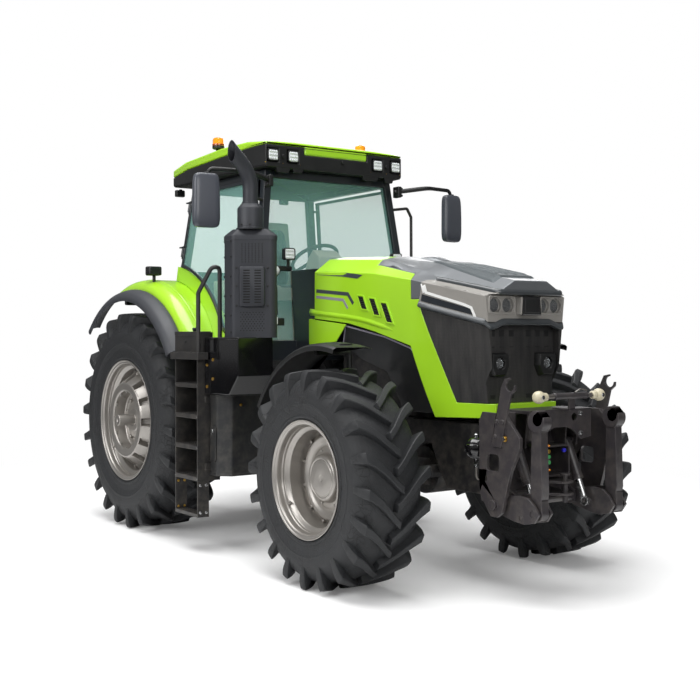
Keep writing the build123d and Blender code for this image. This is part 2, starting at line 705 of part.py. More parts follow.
def windscreen():
    """Glass between the A posts, stepping down on both sides of the bulkhead."""
    top = cab_eaves_z - post_size - 2
    foot, step = windscreen_foot_z, cowl_top_z + 4
    inner = cowl_half_width + 4
    half = [(inner, step), (inner, foot), (side_y(foot) - post_size - 2, foot), (side_y(top) - post_size - 2, top)]
    outline = [(-y, z) for y, z in half] + half[::-1]
    face = make_face(Polyline([(a_post_x(z), y, z) for y, z in outline], close=True))
    return extrude(face, amount=glass_wall, dir=(1, 0, 0))


def rear_window():
    """Glass above the rear cross member, set between the rear posts."""
    low, top = rear_axle[1] + fender_body_radius + 74, cab_eaves_z - post_size - 2
    inset = post_size + 2
    corners = [(c_post_x(z), y * (side_y(z) - inset), z) for z, y in ((low, -1), (low, 1), (top, 1), (top, -1))]
    return extrude(make_face(Polyline(corners, close=True)), amount=glass_wall, dir=(1, 0, 0))


roof_sections = [  # x, half width, then above the eaves: underside, seam with the lamp housing, corner, crown
    (-2910, 600, 34, 118, 176, 200),
    (-2500, 672, 0, 134, 204, 240),
    (-1900, 690, 0, 152, 222, 256),
    (-1500, 676, 0, 170, 220, 246),
    (-1250, 652, 0, 177, 194, 206),
]
roof_lamp_y = (407, 590)
roof_lamp_size = (104, 96)
roof_lamp_z = 2990


def lofted(sections):
    """Solid through (x, closed list of (y, z)) sections."""
    faces = [make_face(Polyline([(x, y, z) for y, z in ring], close=True)) for x, ring in sections]
    return loft(faces, ruled=True)


def both_sides(half):
    """Closed (y, z) ring from its left half, listed from the bottom up."""
    return half + [(-y, z) for y, z in reversed(half)]


def roof_ring(half, *levels):
    """Closed ring from (inset from the half width, height above the eaves) pairs, listed from the bottom up."""
    return both_sides([(half - inset, cab_eaves_z + level) for inset, level in levels])


def roof():
    """Green roof shell with its crowned top, and the strip over the windscreen."""
    rings = [(x, roof_ring(half, (0, seam), (0, corner), (110, 0.4 * corner + 0.6 * crown), (260, crown)))
             for x, half, low, seam, corner, crown in roof_sections]
    return lofted(rings) + roof_strip(0)


def roof_strip(gap):
    """Strip between the two lamp pods, let into the housing."""
    front, seam = roof_sections[-1][0], cab_eaves_z + roof_sections[-1][3]
    return block((front - 22 - gap, front + gap), (-300 - gap, 300 + gap), (seam - 60 - gap, seam + gap))


def roof_base():
    """Black lamp housing under the roof shell, with lamp pockets in its front corners."""
    rings = [(x, roof_ring(half, (12, low), (0, low + 14), (0, seam))) for x, half, low, seam, corner, crown in roof_sections]
    return lofted(rings) - roof_strip(0) - roof_lamps(1)


def roof_lamps(gap):
    """Square lamps in the front corners of the roof, grown by a gap where they cut their pockets."""
    w, h = roof_lamp_size
    front = roof_sections[-1][0]
    return [block((front - 24 - gap, front + 10), (s * y - w / 2 - gap, s * y + w / 2 + gap),
                  (roof_lamp_z - h / 2 - gap, roof_lamp_z + h / 2 + gap)) for y in roof_lamp_y for s in (1, -1)]


def cab():
    write_part("cab_frame", cab_frame())
    write_part("cab_lower_panels", cab_lower_panel(), mirrored(cab_lower_panel()), bonnet_sill(), mirrored(bonnet_sill()))
    write_part("cab_roof", roof())
    write_part("roof_base", roof_base())
    write_part("windscreen", windscreen())
    write_part("rear_window", rear_window())
    ring, pane = door()
    write_part("door_frame_left", ring)
    write_part("door_frame_right", mirrored(ring))
    write_part("door_glass_left", pane)
    write_part("door_glass_right", mirrored(pane))


# ---------------------------------------------------------------- rear fenders


def rear_fender():
    """Left wheelhouse with its inner side wall, and the grey flare outside it."""
    r, w, outer = fender_body_radius, fender_wall, fender_outer_y
    start, end = fender_start_angle, fender_end_angle
    skin = [(fender_inner_y, r), (outer - 70, r), (outer - 20, r - 40), (outer, r - 90), (outer - w, r - 90),
            (outer - 20 - w, r - 46), (outer - 70 - w / 2, r - w), (fender_inner_y, r - w)]
    arch = about_axle(skin, rear_axle, start, end)
    cx, cz = rear_axle

    def at(angle):
        a = math.radians(angle)
        return (cx + (r - w / 2) * math.cos(a), fender_inner_y, cz + (r - w / 2) * math.sin(a))

    wall = make_face([ThreePointArc(at(start), at((start + end) / 2), at(end)), Line(at(end), at(start))])
    arch += extrude(wall, amount=12, dir=(0, 1, 0))
    y1, t = flare_outer_y, flare_wall
    flare = [(outer + 1, r - 88), (outer + 60, r - 114), (y1, r - 150), (y1, r - 184), (y1 - t, r - 184), (y1 - t, r - 150 - t),
             (outer + 60, r - 116 - t), (outer + 1, r - 90 - t)]
    return arch, about_axle(flare, rear_axle, start - 1, flare_end_angle)


def fenders():
    green, flare = rear_fender()
    write_part("rear_fenders", green, mirrored(green))
    write_part("fender_flares", flare, mirrored(flare))


# ---------------------------------------------------------------- bonnet
bonnet_sections = [  # x, crown z, top edge z, top edge y, shoulder z, shoulder y, foot y (at bonnet_foot_z)
    (-925, 2214, 2182, 300, 2085, 432, 440),
    (-220, 2180, 2140, 300, 2042, 428, 438),
    (180, 2120, 2046, 300, 1982, 424, 425),
    (360, 2094, 1978, 300, 1950, 420, 352),
    (868, 1984, 1874, 284, 1846, 338, 232),
]
bonnet_foot_z = 1000
bonnet_edge = [(-1000, 1745), (-500, 1700), (-197, 1640), (184, 1545), (354, 1083), (900, 1100)]   # lower edge, (x, z)
band_face_x = 822
grille_face_x = 764
headlamp_radius = 47
headlamp_y = (155, 262)
headlamp_z = 1799
fog_lamp_y = 207
fog_lamp_z = 1436


def bonnet_solid(inset):
    """Bonnet volume, all its sections moved inwards by inset."""
    rings = []
    for x, crown, edge, edge_y, shoulder, shoulder_y, foot_y in bonnet_sections:
        half = [(foot_y - inset, bonnet_foot_z), (shoulder_y - inset, shoulder - inset / 2), (edge_y - inset / 2, edge - inset),
                (edge_y / 2, (0.72 * crown + 0.28 * edge) - inset)]
        rings.append((x, both_sides(half)))
    return lofted(rings)


def front_lamps(gap):
    """Two round lamps a side in the band, and two fog lamps in bevelled housings on the grille."""
    found = []
    for s in (1, -1):
        for y in headlamp_y:
            found.append(rod((band_face_x - 46 - gap, s * y, headlamp_z), (band_face_x - 6 + 8 * gap, s * y, headlamp_z),
                             headlamp_radius + gap))
        y = s * fog_lamp_y
        housing = lofted([(grille_face_x, [(y - 84, fog_lamp_z - 66), (y + 84, fog_lamp_z - 66), (y + 84, fog_lamp_z + 72),
                                           (y - 84, fog_lamp_z + 72)]),
                          (grille_face_x + 48, [(y - 60, fog_lamp_z - 46), (y + 60, fog_lamp_z - 46), (y + 60, fog_lamp_z + 40),
                                                (y - 60, fog_lamp_z + 40)])])
        if gap == 0:
            found.append(housing)
    return found


def bonnet():
    """Shell of the bonnet, cut into its green panels, grey top, headlamp band and mesh grille."""
    outer = bonnet_solid(0)
    shell = outer - bonnet_solid(bonnet_wall)
    lower = side_plate(bonnet_edge + [(900, 900), (-1000, 900)], 0, 1200)
    shell = shell - lower
    band_side = [(300, 1975), (263, 1824), (900, 1676), (900, 1868), (340, 1975)]
    nose = (outer & block((712, 900), (-500, 500), (1000, 2100))) - lower
    nose = nose - block((band_face_x, 900), (-500, 500), (1000, 1866))
    nose = nose - block((grille_face_x, 900), (-292, 292), (1186, 1674))
    shell = shell - block((grille_face_x, 900), (-292, 292), (1186, 1674)) - block((band_face_x, 900), (-500, 500), (1000, 1866))
    shell = shell + nose
    mesh_zone = side_plate([(263, 1824), (531, 1186), (900, 1186), (900, 1676)], 0, 1200)
    grille = shell & mesh_zone
    rest = shell - mesh_zone
    band_zone = side_plate(band_side, 0, 1200)
    band = (rest & band_zone) - front_lamps(1)
    band += block((band_face_x, band_face_x + 48), (-90, 90), (1742, 1850))
    rest = rest - band_zone
    top_zone = plan_plate([(-260, -352), (150, -352), (300, -600), (900, -600), (900, 600), (300, 600), (150, 352), (-260, 352),
                           (-330, 0)], 1850, 500)
    green = rest - top_zone
    ears = []
    for y in (-bonnet_ear_y, bonnet_ear_y):
        ear = side_plate([(bonnet_hinge_x - 20, bonnet_hinge_z - 22), (bonnet_hinge_x + 24, bonnet_hinge_z - 22),
                          (bonnet_hinge_x + 80, bonnet_hinge_z + 30), (bonnet_hinge_x + 4, bonnet_hinge_z + 34)], y, 14)
        ears.append(ear - cross_rod(bonnet_hinge_x, bonnet_hinge_z, (y - 20, y + 20), hinge_pin_radius + running_clearance))
    return green + ears, rest & top_zone, band, grille


def side_shield():
    """Left dark panel under the bonnet, leaning inwards towards its foot."""
    outline = [(-620, 1556), (-545, 1690), (-116, 1612), (150, 1535), (251, 1345), (330, 1100), (-60, 1100), (-165, 1365),
               (-440, 1450)]
    return leaning_plate(outline, lambda z: 397 - 0.23 * (1620 - z), shield_wall)


def engine_bay():
    green, top, band, grille = bonnet()
    write_part("bonnet_panels", green)
    write_part("bonnet_top", top)
    write_part("headlamp_band", band)
    write_part("grille", grille)
    write_part("front_lamps", *front_lamps(0))
    write_part("side_shields", side_shield(), mirrored(side_shield()))


# ---------------------------------------------------------------- exhaust, mirrors, lamps
exhaust_x, exhaust_y = -980, -950
guard_size = (280, 290)
guard_top = 2350
can_radius = 95
pipe_radius = 60
pipe_wall = 5
mirror_place = (-1233, 1176, 2602)
mirror_size = (90, 210, 400)
beacon_radius = 52
post_lamp_z = 2120


def exhaust():
    """Guard box with rounded corners, cone, silencer can and the bent tail pipe with its open mouth."""
    guard = Pos(exhaust_x, exhaust_y, side_box_top) * Box(*guard_size, guard_top - side_box_top,
                                                          align=(Align.CENTER, Align.CENTER, Align.MIN))
    guard = fillet(guard.edges().filter_by(Axis.Z), 60)
    cone = Pos(exhaust_x, exhaust_y, guard_top + 35) * Cone(can_radius + 30, can_radius, 70)
    can = Pos(exhaust_x, exhaust_y, guard_top + 60) * Cylinder(can_radius, 150, align=(Align.CENTER, Align.CENTER, Align.MIN))
    neck = Pos(exhaust_x, exhaust_y, guard_top + 235) * Cone(can_radius, pipe_radius, 50)
    mouth = (exhaust_x - 200, exhaust_y, 2950)
    pipe = bent_tube([(exhaust_x, exhaust_y, guard_top + 240), (exhaust_x, exhaust_y, 2760), mouth], pipe_radius, 150)
    bore = rod((exhaust_x - 100, exhaust_y, 2855), (exhaust_x - 210, exhaust_y, 2959.5), pipe_radius - pipe_wall)
    return guard + cone + can + neck + pipe - bore


def side_mirror():
    """Left mirror: its arm from the A post and its head, turned a little towards the driver."""
    x, y, z = mirror_place
    root_z = cab_eaves_z - 105
    top = z + mirror_size[2] / 2 + 36
    arm = bent_tube([(a_post_x(root_z), side_y(root_z) - 20, root_z), (a_post_x(root_z) + 120, 850, top - 8), (x + 6, y - 20, top),
                     (x + 6, y, z + 140)], 14, 30)
    head = Pos(x, y, z) * Rot(0, 0, 8) * Box(*mirror_size)
    return (arm - a_post()) + fillet(head.edges(), 28)


def work_lamps():
    """Roof lamps front and rear, and the lamps on the rear fenders."""
    found = roof_lamps(0)
    fender = rear_fender()[0]
    for s in (1, -1):
        found.append(block((-2905, -2845), (s * 500, s * 590), (cab_eaves_z - 50, cab_eaves_z + 12)) - roof_base())
        x, y, z = -2591, 940, rear_axle[1] + fender_body_radius
        lamp = block((x - 16, x + 16), (y - 16, y + 16), (z - 40, z + 30)) - fender
        lamp = lamp.solids().sort_by(Axis.Z)[-1] + block((x - 42, x + 34), (y - 62, y + 62), (z + 28, z + 108))
        found.append(lamp if s > 0 else mirrored(lamp))
    return found


def signal_lamps():
    """Square lamp and turn signal in front of the left A post, and the tail lamp behind the fender."""
    x = a_post_x(post_lamp_z) + 165
    z = post_lamp_z
    arm = block((a_post_x(z) - 10, x - 30), (640, 676), (z - 22, z + 22)) + block((x - 40, x), (470, 676), (z - 22, z + 22))
    cluster = arm + block((x - 10, x + 40), (594, 731), (z - 70, z + 32)) + block((x - 20, x + 30), (464, 564), (z + 62, z + 158))
    cluster += block((x - 10, x + 10), (500, 530), (z, z + 70))
    a = math.radians(fender_end_angle)
    tip_x, tip_z = rear_axle[0] + fender_body_radius * math.cos(a), rear_axle[1] + fender_body_radius * math.sin(a)
    tail = block((tip_x - 50, tip_x + 12), (700, 900), (tip_z - 110, tip_z - 8)) - rear_fender()[0]
    return cluster - a_post(), tail


def beacons():
    """Warning beacons on short stems, set diagonally on the roof."""
    found = []
    for x, y in ((-2086, -600), (-1746, 600)):
        stem = Pos(x, y, 3090) * Cylinder(18, 60, align=(Align.CENTER, Align.CENTER, Align.MIN))
        dome = Pos(x, y, 3148) * Cylinder(beacon_radius, 96, align=(Align.CENTER, Align.CENTER, Align.MIN))
        found.append(stem + fillet(dome.edges().sort_by(Axis.Z)[-1:], 24))
    return found


def fittings():
    write_part("exhaust", exhaust())
    write_part("mirrors", side_mirror(), mirrored(side_mirror()))
    write_part("work_lamps", *work_lamps())
    cluster, tail = signal_lamps()
    write_part("signal_lamps", cluster, mirrored(cluster), tail, mirrored(tail))
    write_part("beacons", *[b - roof() for b in beacons()])


# ---------------------------------------------------------------- seat and controls
seat_x = -2020
seat_top = 2010
steering_hub = (-1560, 0, 2230)
steering_wheel_radius = 190


def seat():
    """Seat with side bolsters, back rest, suspension pedestal and the armrest with its console."""
    x, z = seat_x, seat_top
    cushion = cross_plate([(-250, z - 110), (250, z - 110), (262, z + 14), (205, z + 20), (165, z), (-165, z), (-205, z + 20),
                           (-262, z + 14)], x, 460)
    back = side_plate([(x - 310, z - 60), (x - 215, z - 60), (x - 265, z + 330), (x - 300, z + 590), (x - 370, z + 600),
                       (x - 385, z + 320)], 0, 460)
    back = fillet(back.edges().filter_by(Axis.Y), 18)
    pedestal = side_plate([(x - 190, cab_sill_z), (x + 150, cab_sill_z), (x + 110, z - 105), (x - 170, z - 105)], 0, 300)
    arm = side_plate([(x - 200, z + 150), (x - 200, z + 215), (x + 230, z + 235), (x + 290, z + 190), (x + 250, z + 130)], -345, 130)
    arm += block((x - 160, x - 90), (-410, -240), (z - 90, z + 170))
    console = block((x - 230, x + 190), (-560, -415), (cab_sill_z, z + 60))
    console += block((x - 200, x - 100), (-420, -200), (z - 100, z - 70))
    return cushion + back + pedestal + arm + console


def dash():
    """Steering column with its dash hump, and two pedals at its foot."""
    x, _, z = steering_hub
    column = side_plate([(-1420, cab_sill_z), (a_post_x(1700) - 14, cab_sill_z), (a_post_x(1900) - 14, 1900),
                         (a_post_x(2240) - 16, 2240), (-1420, 2300), (-1500, 2230), (x + 20, 2120), (x - 10, 2080)], 0, 230)
    for y in (-250, -170):
        column += block((-1470, -1452), (y - 32, y + 32), (1560, 1640))
        column += bar((-1455, y, 1600), (-1400, y * 0.2, 1760), 20, 20)
    return column


def steering_wheel():
    """Rim, hub, spokes and shaft, tilted towards the driver."""
    tilt = Plane(origin=steering_hub, z_dir=(-0.55, 0, 0.83))
    r = steering_wheel_radius
    wheel = tilt * (Torus(r, 15) + Cylinder(46, 44))
    for turn in (90, 210, 330):
        wheel += tilt * (Rot(0, 0, turn) * Pos(r / 2, 0, 0) * Box(r, 34, 12))
    x, y, z = steering_hub
    return wheel + rod(steering_hub, (x + 44, y, z - 66), 24)


def interior():
    write_part("seat", seat())
    write_part("dash_column", dash() - steering_wheel())
    write_part("steering_wheel", steering_wheel())


# ---------------------------------------------------------------- front linkage
horn_wall = 16
hook_radius = 34
gusset_y = 246


def hitch_plate():
    """(x, z) outline of the side plate: square shoulder, round nose over the lift shaft."""
    return [(840, 1096), (868, 1150), (1060, 1146), (1186, 1010), (1186, 955), (1106, 800), (1058, 640), (1034, 560), (992, 528),
            (936, 528), (842, 660)]


def hitch_horn():
    """(x, z) outline of the hook that rises in front of the side plate."""
    return [(962, 948), (1044, 948), (1128, 1262), (1164, 1290), (1170, 1340), (1130, 1366), (1076, 1356), (1046, 1300)]


def hitch_side(s):
    """One side of the frame: plate, horn with its open hook, gusset, anchor cheeks and their pin."""
    px, pz = front_lift_pivot
    ax, az = cylinder_anchor
    inner = front_link_y - front_arm_spacing
    plate = side_plate(hitch_plate(), s * hitch_plate_y, hitch_plate_wall)
    window = fillet(block((905, 1010), (s * 380, s * 440), (800, 900)).edges().filter_by(Axis.Y), 22)
    plate -= block((842, 905), (s * 380, s * 440), (735, 800))
    body = plate - [window] + side_plate(hitch_horn(), s * (hitch_plate_y + 20), horn_wall)
    body -= cross_rod(1122, 1318, (s * 400, s * 450), hook_radius)
    body -= block((1122, 1200), (s * 400, s * 450), (1318, 1400))
    gusset = side_plate([(842, 726), (842, 610), (px - 10, pz - 50), (px + 34, pz - 34), (px + 34, pz + 40), (px - 20, pz + 60)],
                        s * gusset_y, 14)
    body += gusset
    body -= cross_rod(px, pz, (s * 225, s * 440), front_lift_pin_radius + running_clearance)
    body += cross_rod(ax, az, (s * 165, s * (inner + 8)), cylinder_pin_radius)
    for y in (172, inner + 4):
        body += side_plate([(860, 1146), (1000, 1146), (984, az - 34), (906, az - 34), (860, 1000)], s * y, 14)
    for x, z in ((1012, 1100), (1062, 1100), (1000, 1010), (1064, 1000)):
        body += cross_rod(x, z, (s * (hitch_plate_y + 10), s * (hitch_plate_y + 38)), 13)
    return body


def hitch_frame():
    """Both sides, the arched bridge with its holes, the shaft box and the drop coupling with its pin."""
    inner = front_link_y - front_arm_spacing
    arch = [(-inner, 985), (-176, 970), (-110, 1030), (-50, 1052), (50, 1052), (110, 1030), (176, 970), (inner, 985), (inner, 1160),
            (-inner, 1160)]
    bridge = cross_plate(arch, 1100, 20)
    for y in (-120, 120):
        bridge -= rod((1080, y, 1110), (1120, y, 1110), 24)
    body = block((842, 870), (-inner, inner), (frame_bottom, frame_top))
    body += block((842, 870), (-hitch_plate_y, hitch_plate_y), (frame_bottom, 720))
    body += bridge + block((870, 1110), (-inner, inner), (1140, 1160))
    body += [hitch_side(1), hitch_side(-1)]
    for z in (644, 716):
        tongue = plan_plate([(860, -150), (1100, -86), (1164, -50), (1180, 0), (1164, 50), (1100, 86), (860, 150)], z, 14)
        body += tongue
    body += rod((1140, 0, 600), (1140, 0, 764), 16) + rod((1140, 0, 764), (1140, 0, 776), 30)
    box = fillet(block((870, 1060), (-130, 130), (746, 940)).edges().filter_by(Axis.X), 26)
    box -= fillet(block((880, 1100), (-118, 118), (758, 928)).edges().filter_by(Axis.X), 16)
    return body + box + rod((870, 0, 836), (1010, 0, 836), pto_radius) + rod((870, 0, 836), (930, 0, 836), 48)


def front_arms():
    """Both lift arms on their common shaft, with the link pins and the cylinder pins."""
    px, pz = front_lift_pivot
    lx, lz = front_link_pivot
    reach = front_link_y + front_arm_spacing + 10
    body = cross_rod(px, pz, (-hitch_plate_y - 26, hitch_plate_y + 26), front_lift_pin_radius)
    outline = [(px - 46, pz - 24), (px - 34, pz + 34), (px + 20, pz + 50), (1130, 672), (1204, 664), (lx + 10, lz + 52), (lx + 46, lz),
               (lx + 8, lz - 52), (1170, 506), (1080, 516), (px, pz - 56)]
    for s in (1, -1):
        for y in (front_link_y + front_arm_spacing, front_link_y - front_arm_spacing):
            body += side_plate(outline, s * y, 18)
        body += cross_rod(lx, lz, (s * (front_link_y - front_arm_spacing), s * reach), front_link_pin_radius)
        body += cross_rod(*cylinder_eye, (s * (front_cylinder_y - 16), s * (front_link_y - front_arm_spacing)), 12)
        body += cross_rod(1150, 540, (s * (front_link_y - front_arm_spacing), s * reach), 14)
    return body


def front_link():
    """Left lower link, folded up against the frame, with its open claw at the top."""
    lx, lz = front_link_pivot
    y = front_link_y
    top = lz + front_link_length - claw_radius
    shank = side_plate([(lx - 46, lz + 60), (lx + 30, lz + 60), (lx + 46, lz + 110), (lx + 36, top - 30), (lx - 36, top - 30),
                        (lx - 52, lz + 130)], y, 60)
    foot = cross_rod(lx, lz, (y - 30, y + 30), 44) + block((lx - 40, lx + 40), (y - 30, y + 30), (lz, lz + 80))
    claw = cross_rod(lx, top, (y - 34, y + 34), claw_radius)
    mouth = cross_rod(lx + 14, top + 12, (y - 50, y + 50), 32) + Pos(lx + 14, y, top + 12) * Rot(0, -50, 0) * Pos(50, 0, 0) * Box(100, 100, 44)
    body = shank + foot + claw - mouth
    return body - cross_rod(lx, lz, (y - 60, y + 60), front_link_pin_radius + running_clearance)


def front_top_link():
    """Stored top link across the frame: tube, screw ends, bright ball ends and its bracket."""
    x, z = 1196, 1246
    body = cross_rod(x, z, (-150, 130), 22) + cross_rod(x, z, (-250, 220), 14)
    for y in (-275, 240):
        body += cross_rod(x, z, (y - 30, y + 30), 30) + Pos(x, y, z) * Sphere(38)
    body += block((x - 8, x + 8), (-28, 28), (1160, z)) + block((1060, x + 8), (-28, 28), (1160, 1172))
    return body


def front_cylinder_parts():
    """Lift cylinders: barrels on the frame's anchor pins, rods that reach the arms' pins."""
    ax, az = cylinder_anchor
    ex, ez = cylinder_eye
    length = math.hypot(ex - ax, ez - az)
    ux, uz = (ex - ax) / length, (ez - az) / length
    barrel_end = 0.66 * length
    barrels, rods = [], []
    for s in (1, -1):
        y = s * front_cylinder_y

        def at(distance, y=y):
            return (ax + ux * distance, y, az + uz * distance)

        barrel = rod(at(0), at(barrel_end), cylinder_radius) + rod(at(barrel_end - 24), at(barrel_end), cylinder_radius + 2)
        barrel -= cross_rod(ax, az, (y - 60, y + 60), cylinder_pin_radius + running_clearance)
        barrel -= rod(at(45), at(barrel_end + 10), cylinder_rod_radius + running_clearance)
        stem = rod(at(150), at(length - 20), cylinder_rod_radius) + cross_rod(ex, ez, (y - 12, y + 12), 32)
        barrels.append(barrel)
        rods.append(stem - cross_rod(ex, ez, (y - 40, y + 40), 12 + eye_slack))
    return barrels, rods


def accumulator():
    """Pressure sphere with its neck and pipe, on the right side of the front frame."""
    x, y, z = 749, -360, 917
    body = Pos(x, y, z) * Sphere(70) + rod((x, y, z - 30), (x, y, z + 30), 76)
    body += rod((x, y, z + 60), (x, y, z + 96), 16) + rod((x, y, z - 60), (x, y, z - 120), 18)
    return body + bent_tube([(x, y, z - 118), (x, y, z - 190), (x, -frame_half_width, z - 190)], 11, 22)


def front_linkage():
    write_part("hitch_frame", hitch_frame())
    write_part("front_lift_arms", front_arms())
    write_part("front_link_left", front_link())
    write_part("front_link_right", mirrored(front_link()))
    write_part("front_top_link", front_top_link())
    write_part("accumulator", accumulator())
    barrels, rods = front_cylinder_parts()
    write_part("front_cylinders", *barrels)
    write_part("front_cylinder_rods", *rods)


# ---------------------------------------------------------------- rear linkage
rear_arm_y = 300
rear_link_bar = (26, 70)     # width and depth of a lower link
drawbar_reach = (-3420, -2700)


def rear_lift_arms():
    """Both lift arms on the rocker shaft, with the pins that carry the lift rods."""
    ax, az = rear_arm_pivot
    body = cross_rod(ax, az, (-rear_arm_y - 30, rear_arm_y + 30), rocker_radius)
    for s in (1, -1):
        y = s * rear_arm_y
        body += bar((ax, y, az), (ax - rear_arm_length, y, az), 30, 70)
        body += cross_rod(ax - rear_arm_length, az, (y - s * 15, s * (rear_rod_y + rod_pin_radius)), rod_pin_radius)
    return body


def rear_lift_rod(s):
    """Lift rod from an arm's pin to the lower link's; with both pivots it makes a parallelogram."""
    radius, width = rear_rod_eye
    y = s * rear_rod_y
    pins = [(x - rear_arm_length, z) for x, z in (rear_arm_pivot, rear_link_pivot)]
    body = rod((pins[0][0], y, pins[0][1]), (pins[1][0], y, pins[1][1]), 18)
    for x, z in pins:
        body += cross_rod(x, z, (y - width / 2, y + width / 2), radius)
    for x, z in pins:
        body -= cross_rod(x, z, (y - 2 * width, y + 2 * width), rod_pin_radius + running_clearance)
    return body


def rear_lower_link(s):
    """Lower link, bent outwards at the lift rod's pin, with an eye at each end."""
    lx, lz = rear_link_pivot
    root_y, tip_y, x = s * rear_link_root_y, s * rear_link_tip_y, lx - rear_link_length
    bend = (lx - rear_arm_length, s * rear_arm_y, lz)
    body = bar((lx, root_y, lz), bend, *rear_link_bar) + bar(bend, (x, tip_y, lz), *rear_link_bar)
    body += cross_rod(x, lz, (tip_y - 24, tip_y + 24), rear_eye_radius)
    body += cross_rod(lx, lz, (root_y - 20, root_y + 20), rear_eye_radius - 2)
    body += cross_rod(bend[0], lz, (bend[1] - s * 10, s * (rear_rod_y + rod_pin_radius)), rod_pin_radius)
    body -= cross_rod(x, lz, (tip_y - 60, tip_y + 60), rear_eye_bore)
    return body - cross_rod(lx, lz, (root_y - 60, root_y + 60), rear_pin_radius + running_clearance)


def rear_linkage():
    write_part("rear_lift_arms", rear_lift_arms())
    write_part("rear_lift_rods", rear_lift_rod(1), rear_lift_rod(-1))
    write_part("rear_lower_links", rear_lower_link(1), rear_lower_link(-1))
    drawbar = block(drawbar_reach, (-45, 45), (440, 478)) - rod((-3370, 0, 400), (-3370, 0, 500), drawbar_bore)
    write_part("drawbar", drawbar + block((-3040, -2850), (-120, 120), (478, 540)))
    write_part("rear_top_link", rod((-3110, 0, 960), (-3260, 0, 1560), 22) + block((-3120, -3060), (-45, 45), (900, 1010)))


def main():
    wheels()
    axles()
    powertrain()
    sides()
    cab()
    fenders()
    engine_bay()
    fittings()
    interior()
    front_linkage()
    rear_linkage()
    os.makedirs("parts", exist_ok=True)
    for name, shape in parts.items():
        export_step(shape, f"parts/{name}.step")


if __name__ == "__main__":
    main()
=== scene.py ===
# Row-crop farm tractor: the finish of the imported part, built piece by piece on its fixed frame.
import math
import bpy
import bmesh
import numpy as np
from mathutils import Matrix, Vector


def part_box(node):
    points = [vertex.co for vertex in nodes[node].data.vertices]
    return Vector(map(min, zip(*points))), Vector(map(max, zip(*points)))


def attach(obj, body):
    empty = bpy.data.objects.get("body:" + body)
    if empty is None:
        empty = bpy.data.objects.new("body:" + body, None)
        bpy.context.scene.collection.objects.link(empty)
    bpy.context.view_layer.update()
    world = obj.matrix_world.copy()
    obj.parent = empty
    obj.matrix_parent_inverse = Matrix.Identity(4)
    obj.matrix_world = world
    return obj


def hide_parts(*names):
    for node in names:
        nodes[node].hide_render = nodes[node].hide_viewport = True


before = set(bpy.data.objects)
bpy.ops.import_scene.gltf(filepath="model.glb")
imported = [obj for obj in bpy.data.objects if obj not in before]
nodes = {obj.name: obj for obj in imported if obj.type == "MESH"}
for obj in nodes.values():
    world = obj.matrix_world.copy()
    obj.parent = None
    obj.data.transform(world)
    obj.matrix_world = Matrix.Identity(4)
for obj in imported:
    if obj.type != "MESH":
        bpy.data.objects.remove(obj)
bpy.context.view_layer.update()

# Pieces are worked out in millimetres: x forward of the front axle, y to the left, z up from the ground.
tyreLow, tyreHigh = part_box("tyre_front_left")
frontAxleX = (tyreLow.x + tyreHigh.x) / 2 * 1000
rearLow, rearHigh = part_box("tyre_rear_left")
rearAxleX = (rearLow.x + rearHigh.x) / 2 * 1000 - frontAxleX
print("frame loaded:", len(nodes), "nodes")


# arrays of points and faces: a bit is (points, [face arrays])
def grid(points, wrapU=False, wrapV=False, flip=False, caps=False):
    # one four-sided face for each cell of a (rows, columns, 3) array, or of many such arrays stacked in front
    shape = points.shape[:-1]
    many = points.reshape((-1,) + points.shape[-3:])
    rows, columns = shape[-2:]
    index = np.arange(len(many) * rows * columns).reshape(-1, rows, columns)
    first, last = index[:, 0, ::-1], index[:, -1, :]
    if wrapU:
        index = np.concatenate([index, index[:, :1]], 1)
    if wrapV:
        index = np.concatenate([index, index[:, :, :1]], 2)
    cells = [index[:, :-1, :-1], index[:, 1:, :-1], index[:, 1:, 1:], index[:, :-1, 1:]]
    faces = [np.stack(cells, -1).reshape(-1, 4)] + ([first, last] if caps else [])
    return points.reshape(-1, 3), [f[:, ::-1] for f in faces] if flip else faces


def moved(bit, x=0, y=0, z=0):
    return bit[0] + np.array([x, y, z], float), bit[1]


def mirrored(bit):
    # the same bit on the other side of the tractor, its faces turned back outwards
    return bit[0] * np.array([1, -1, 1]), [f[:, ::-1] for f in bit[1]]


def bothSides(bits):
    return bits + [mirrored(b) for b in bits]


def axesAlong(direction):
    # three unit vectors as rows: two across the direction, then the direction itself
    d = np.asarray(direction, float)
    d = d / np.linalg.norm(d, axis=-1, keepdims=True)
    away = np.where(np.abs(d[..., 2:3]) > 0.9, [1.0, 0, 0], [0, 0, 1.0])
    a = np.cross(away, d)
    a = a / np.linalg.norm(a, axis=-1, keepdims=True)
    return np.stack([a, np.cross(d, a), d], -2)


def spread(bit, places, directions):
    # the bit, made about the origin along +z, repeated at each place and pointed along each direction
    places = np.atleast_2d(np.asarray(places, float))
    axes = axesAlong(np.broadcast_to(np.asarray(directions, float), places.shape))
    points = np.einsum("pj,njk->npk", bit[0], axes) + places[:, None]
    step = len(bit[0]) * np.arange(len(places))
    return points.reshape(-1, 3), [(f[None] + step[:, None, None]).reshape(-1, f.shape[1]) for f in bit[1]]


def eased(x, knots, values, soft):
    # straight runs between knots, each corner rounded by a parabola of half length soft
    knots, values = np.asarray(knots, float), np.asarray(values, float)
    slopes = np.diff(values) / np.diff(knots)
    bends = np.concatenate([slopes[:1], np.diff(slopes)])
    u = np.asarray(x, float)[..., None] - knots[:-1]
    ramp = np.where(u > soft, u, np.where(u < -soft, 0, (u + soft) ** 2 / (4 * max(soft, 1e-9))))
    ramp[..., 0] = u[..., 0]
    return values[0] + (ramp * bends).sum(-1)


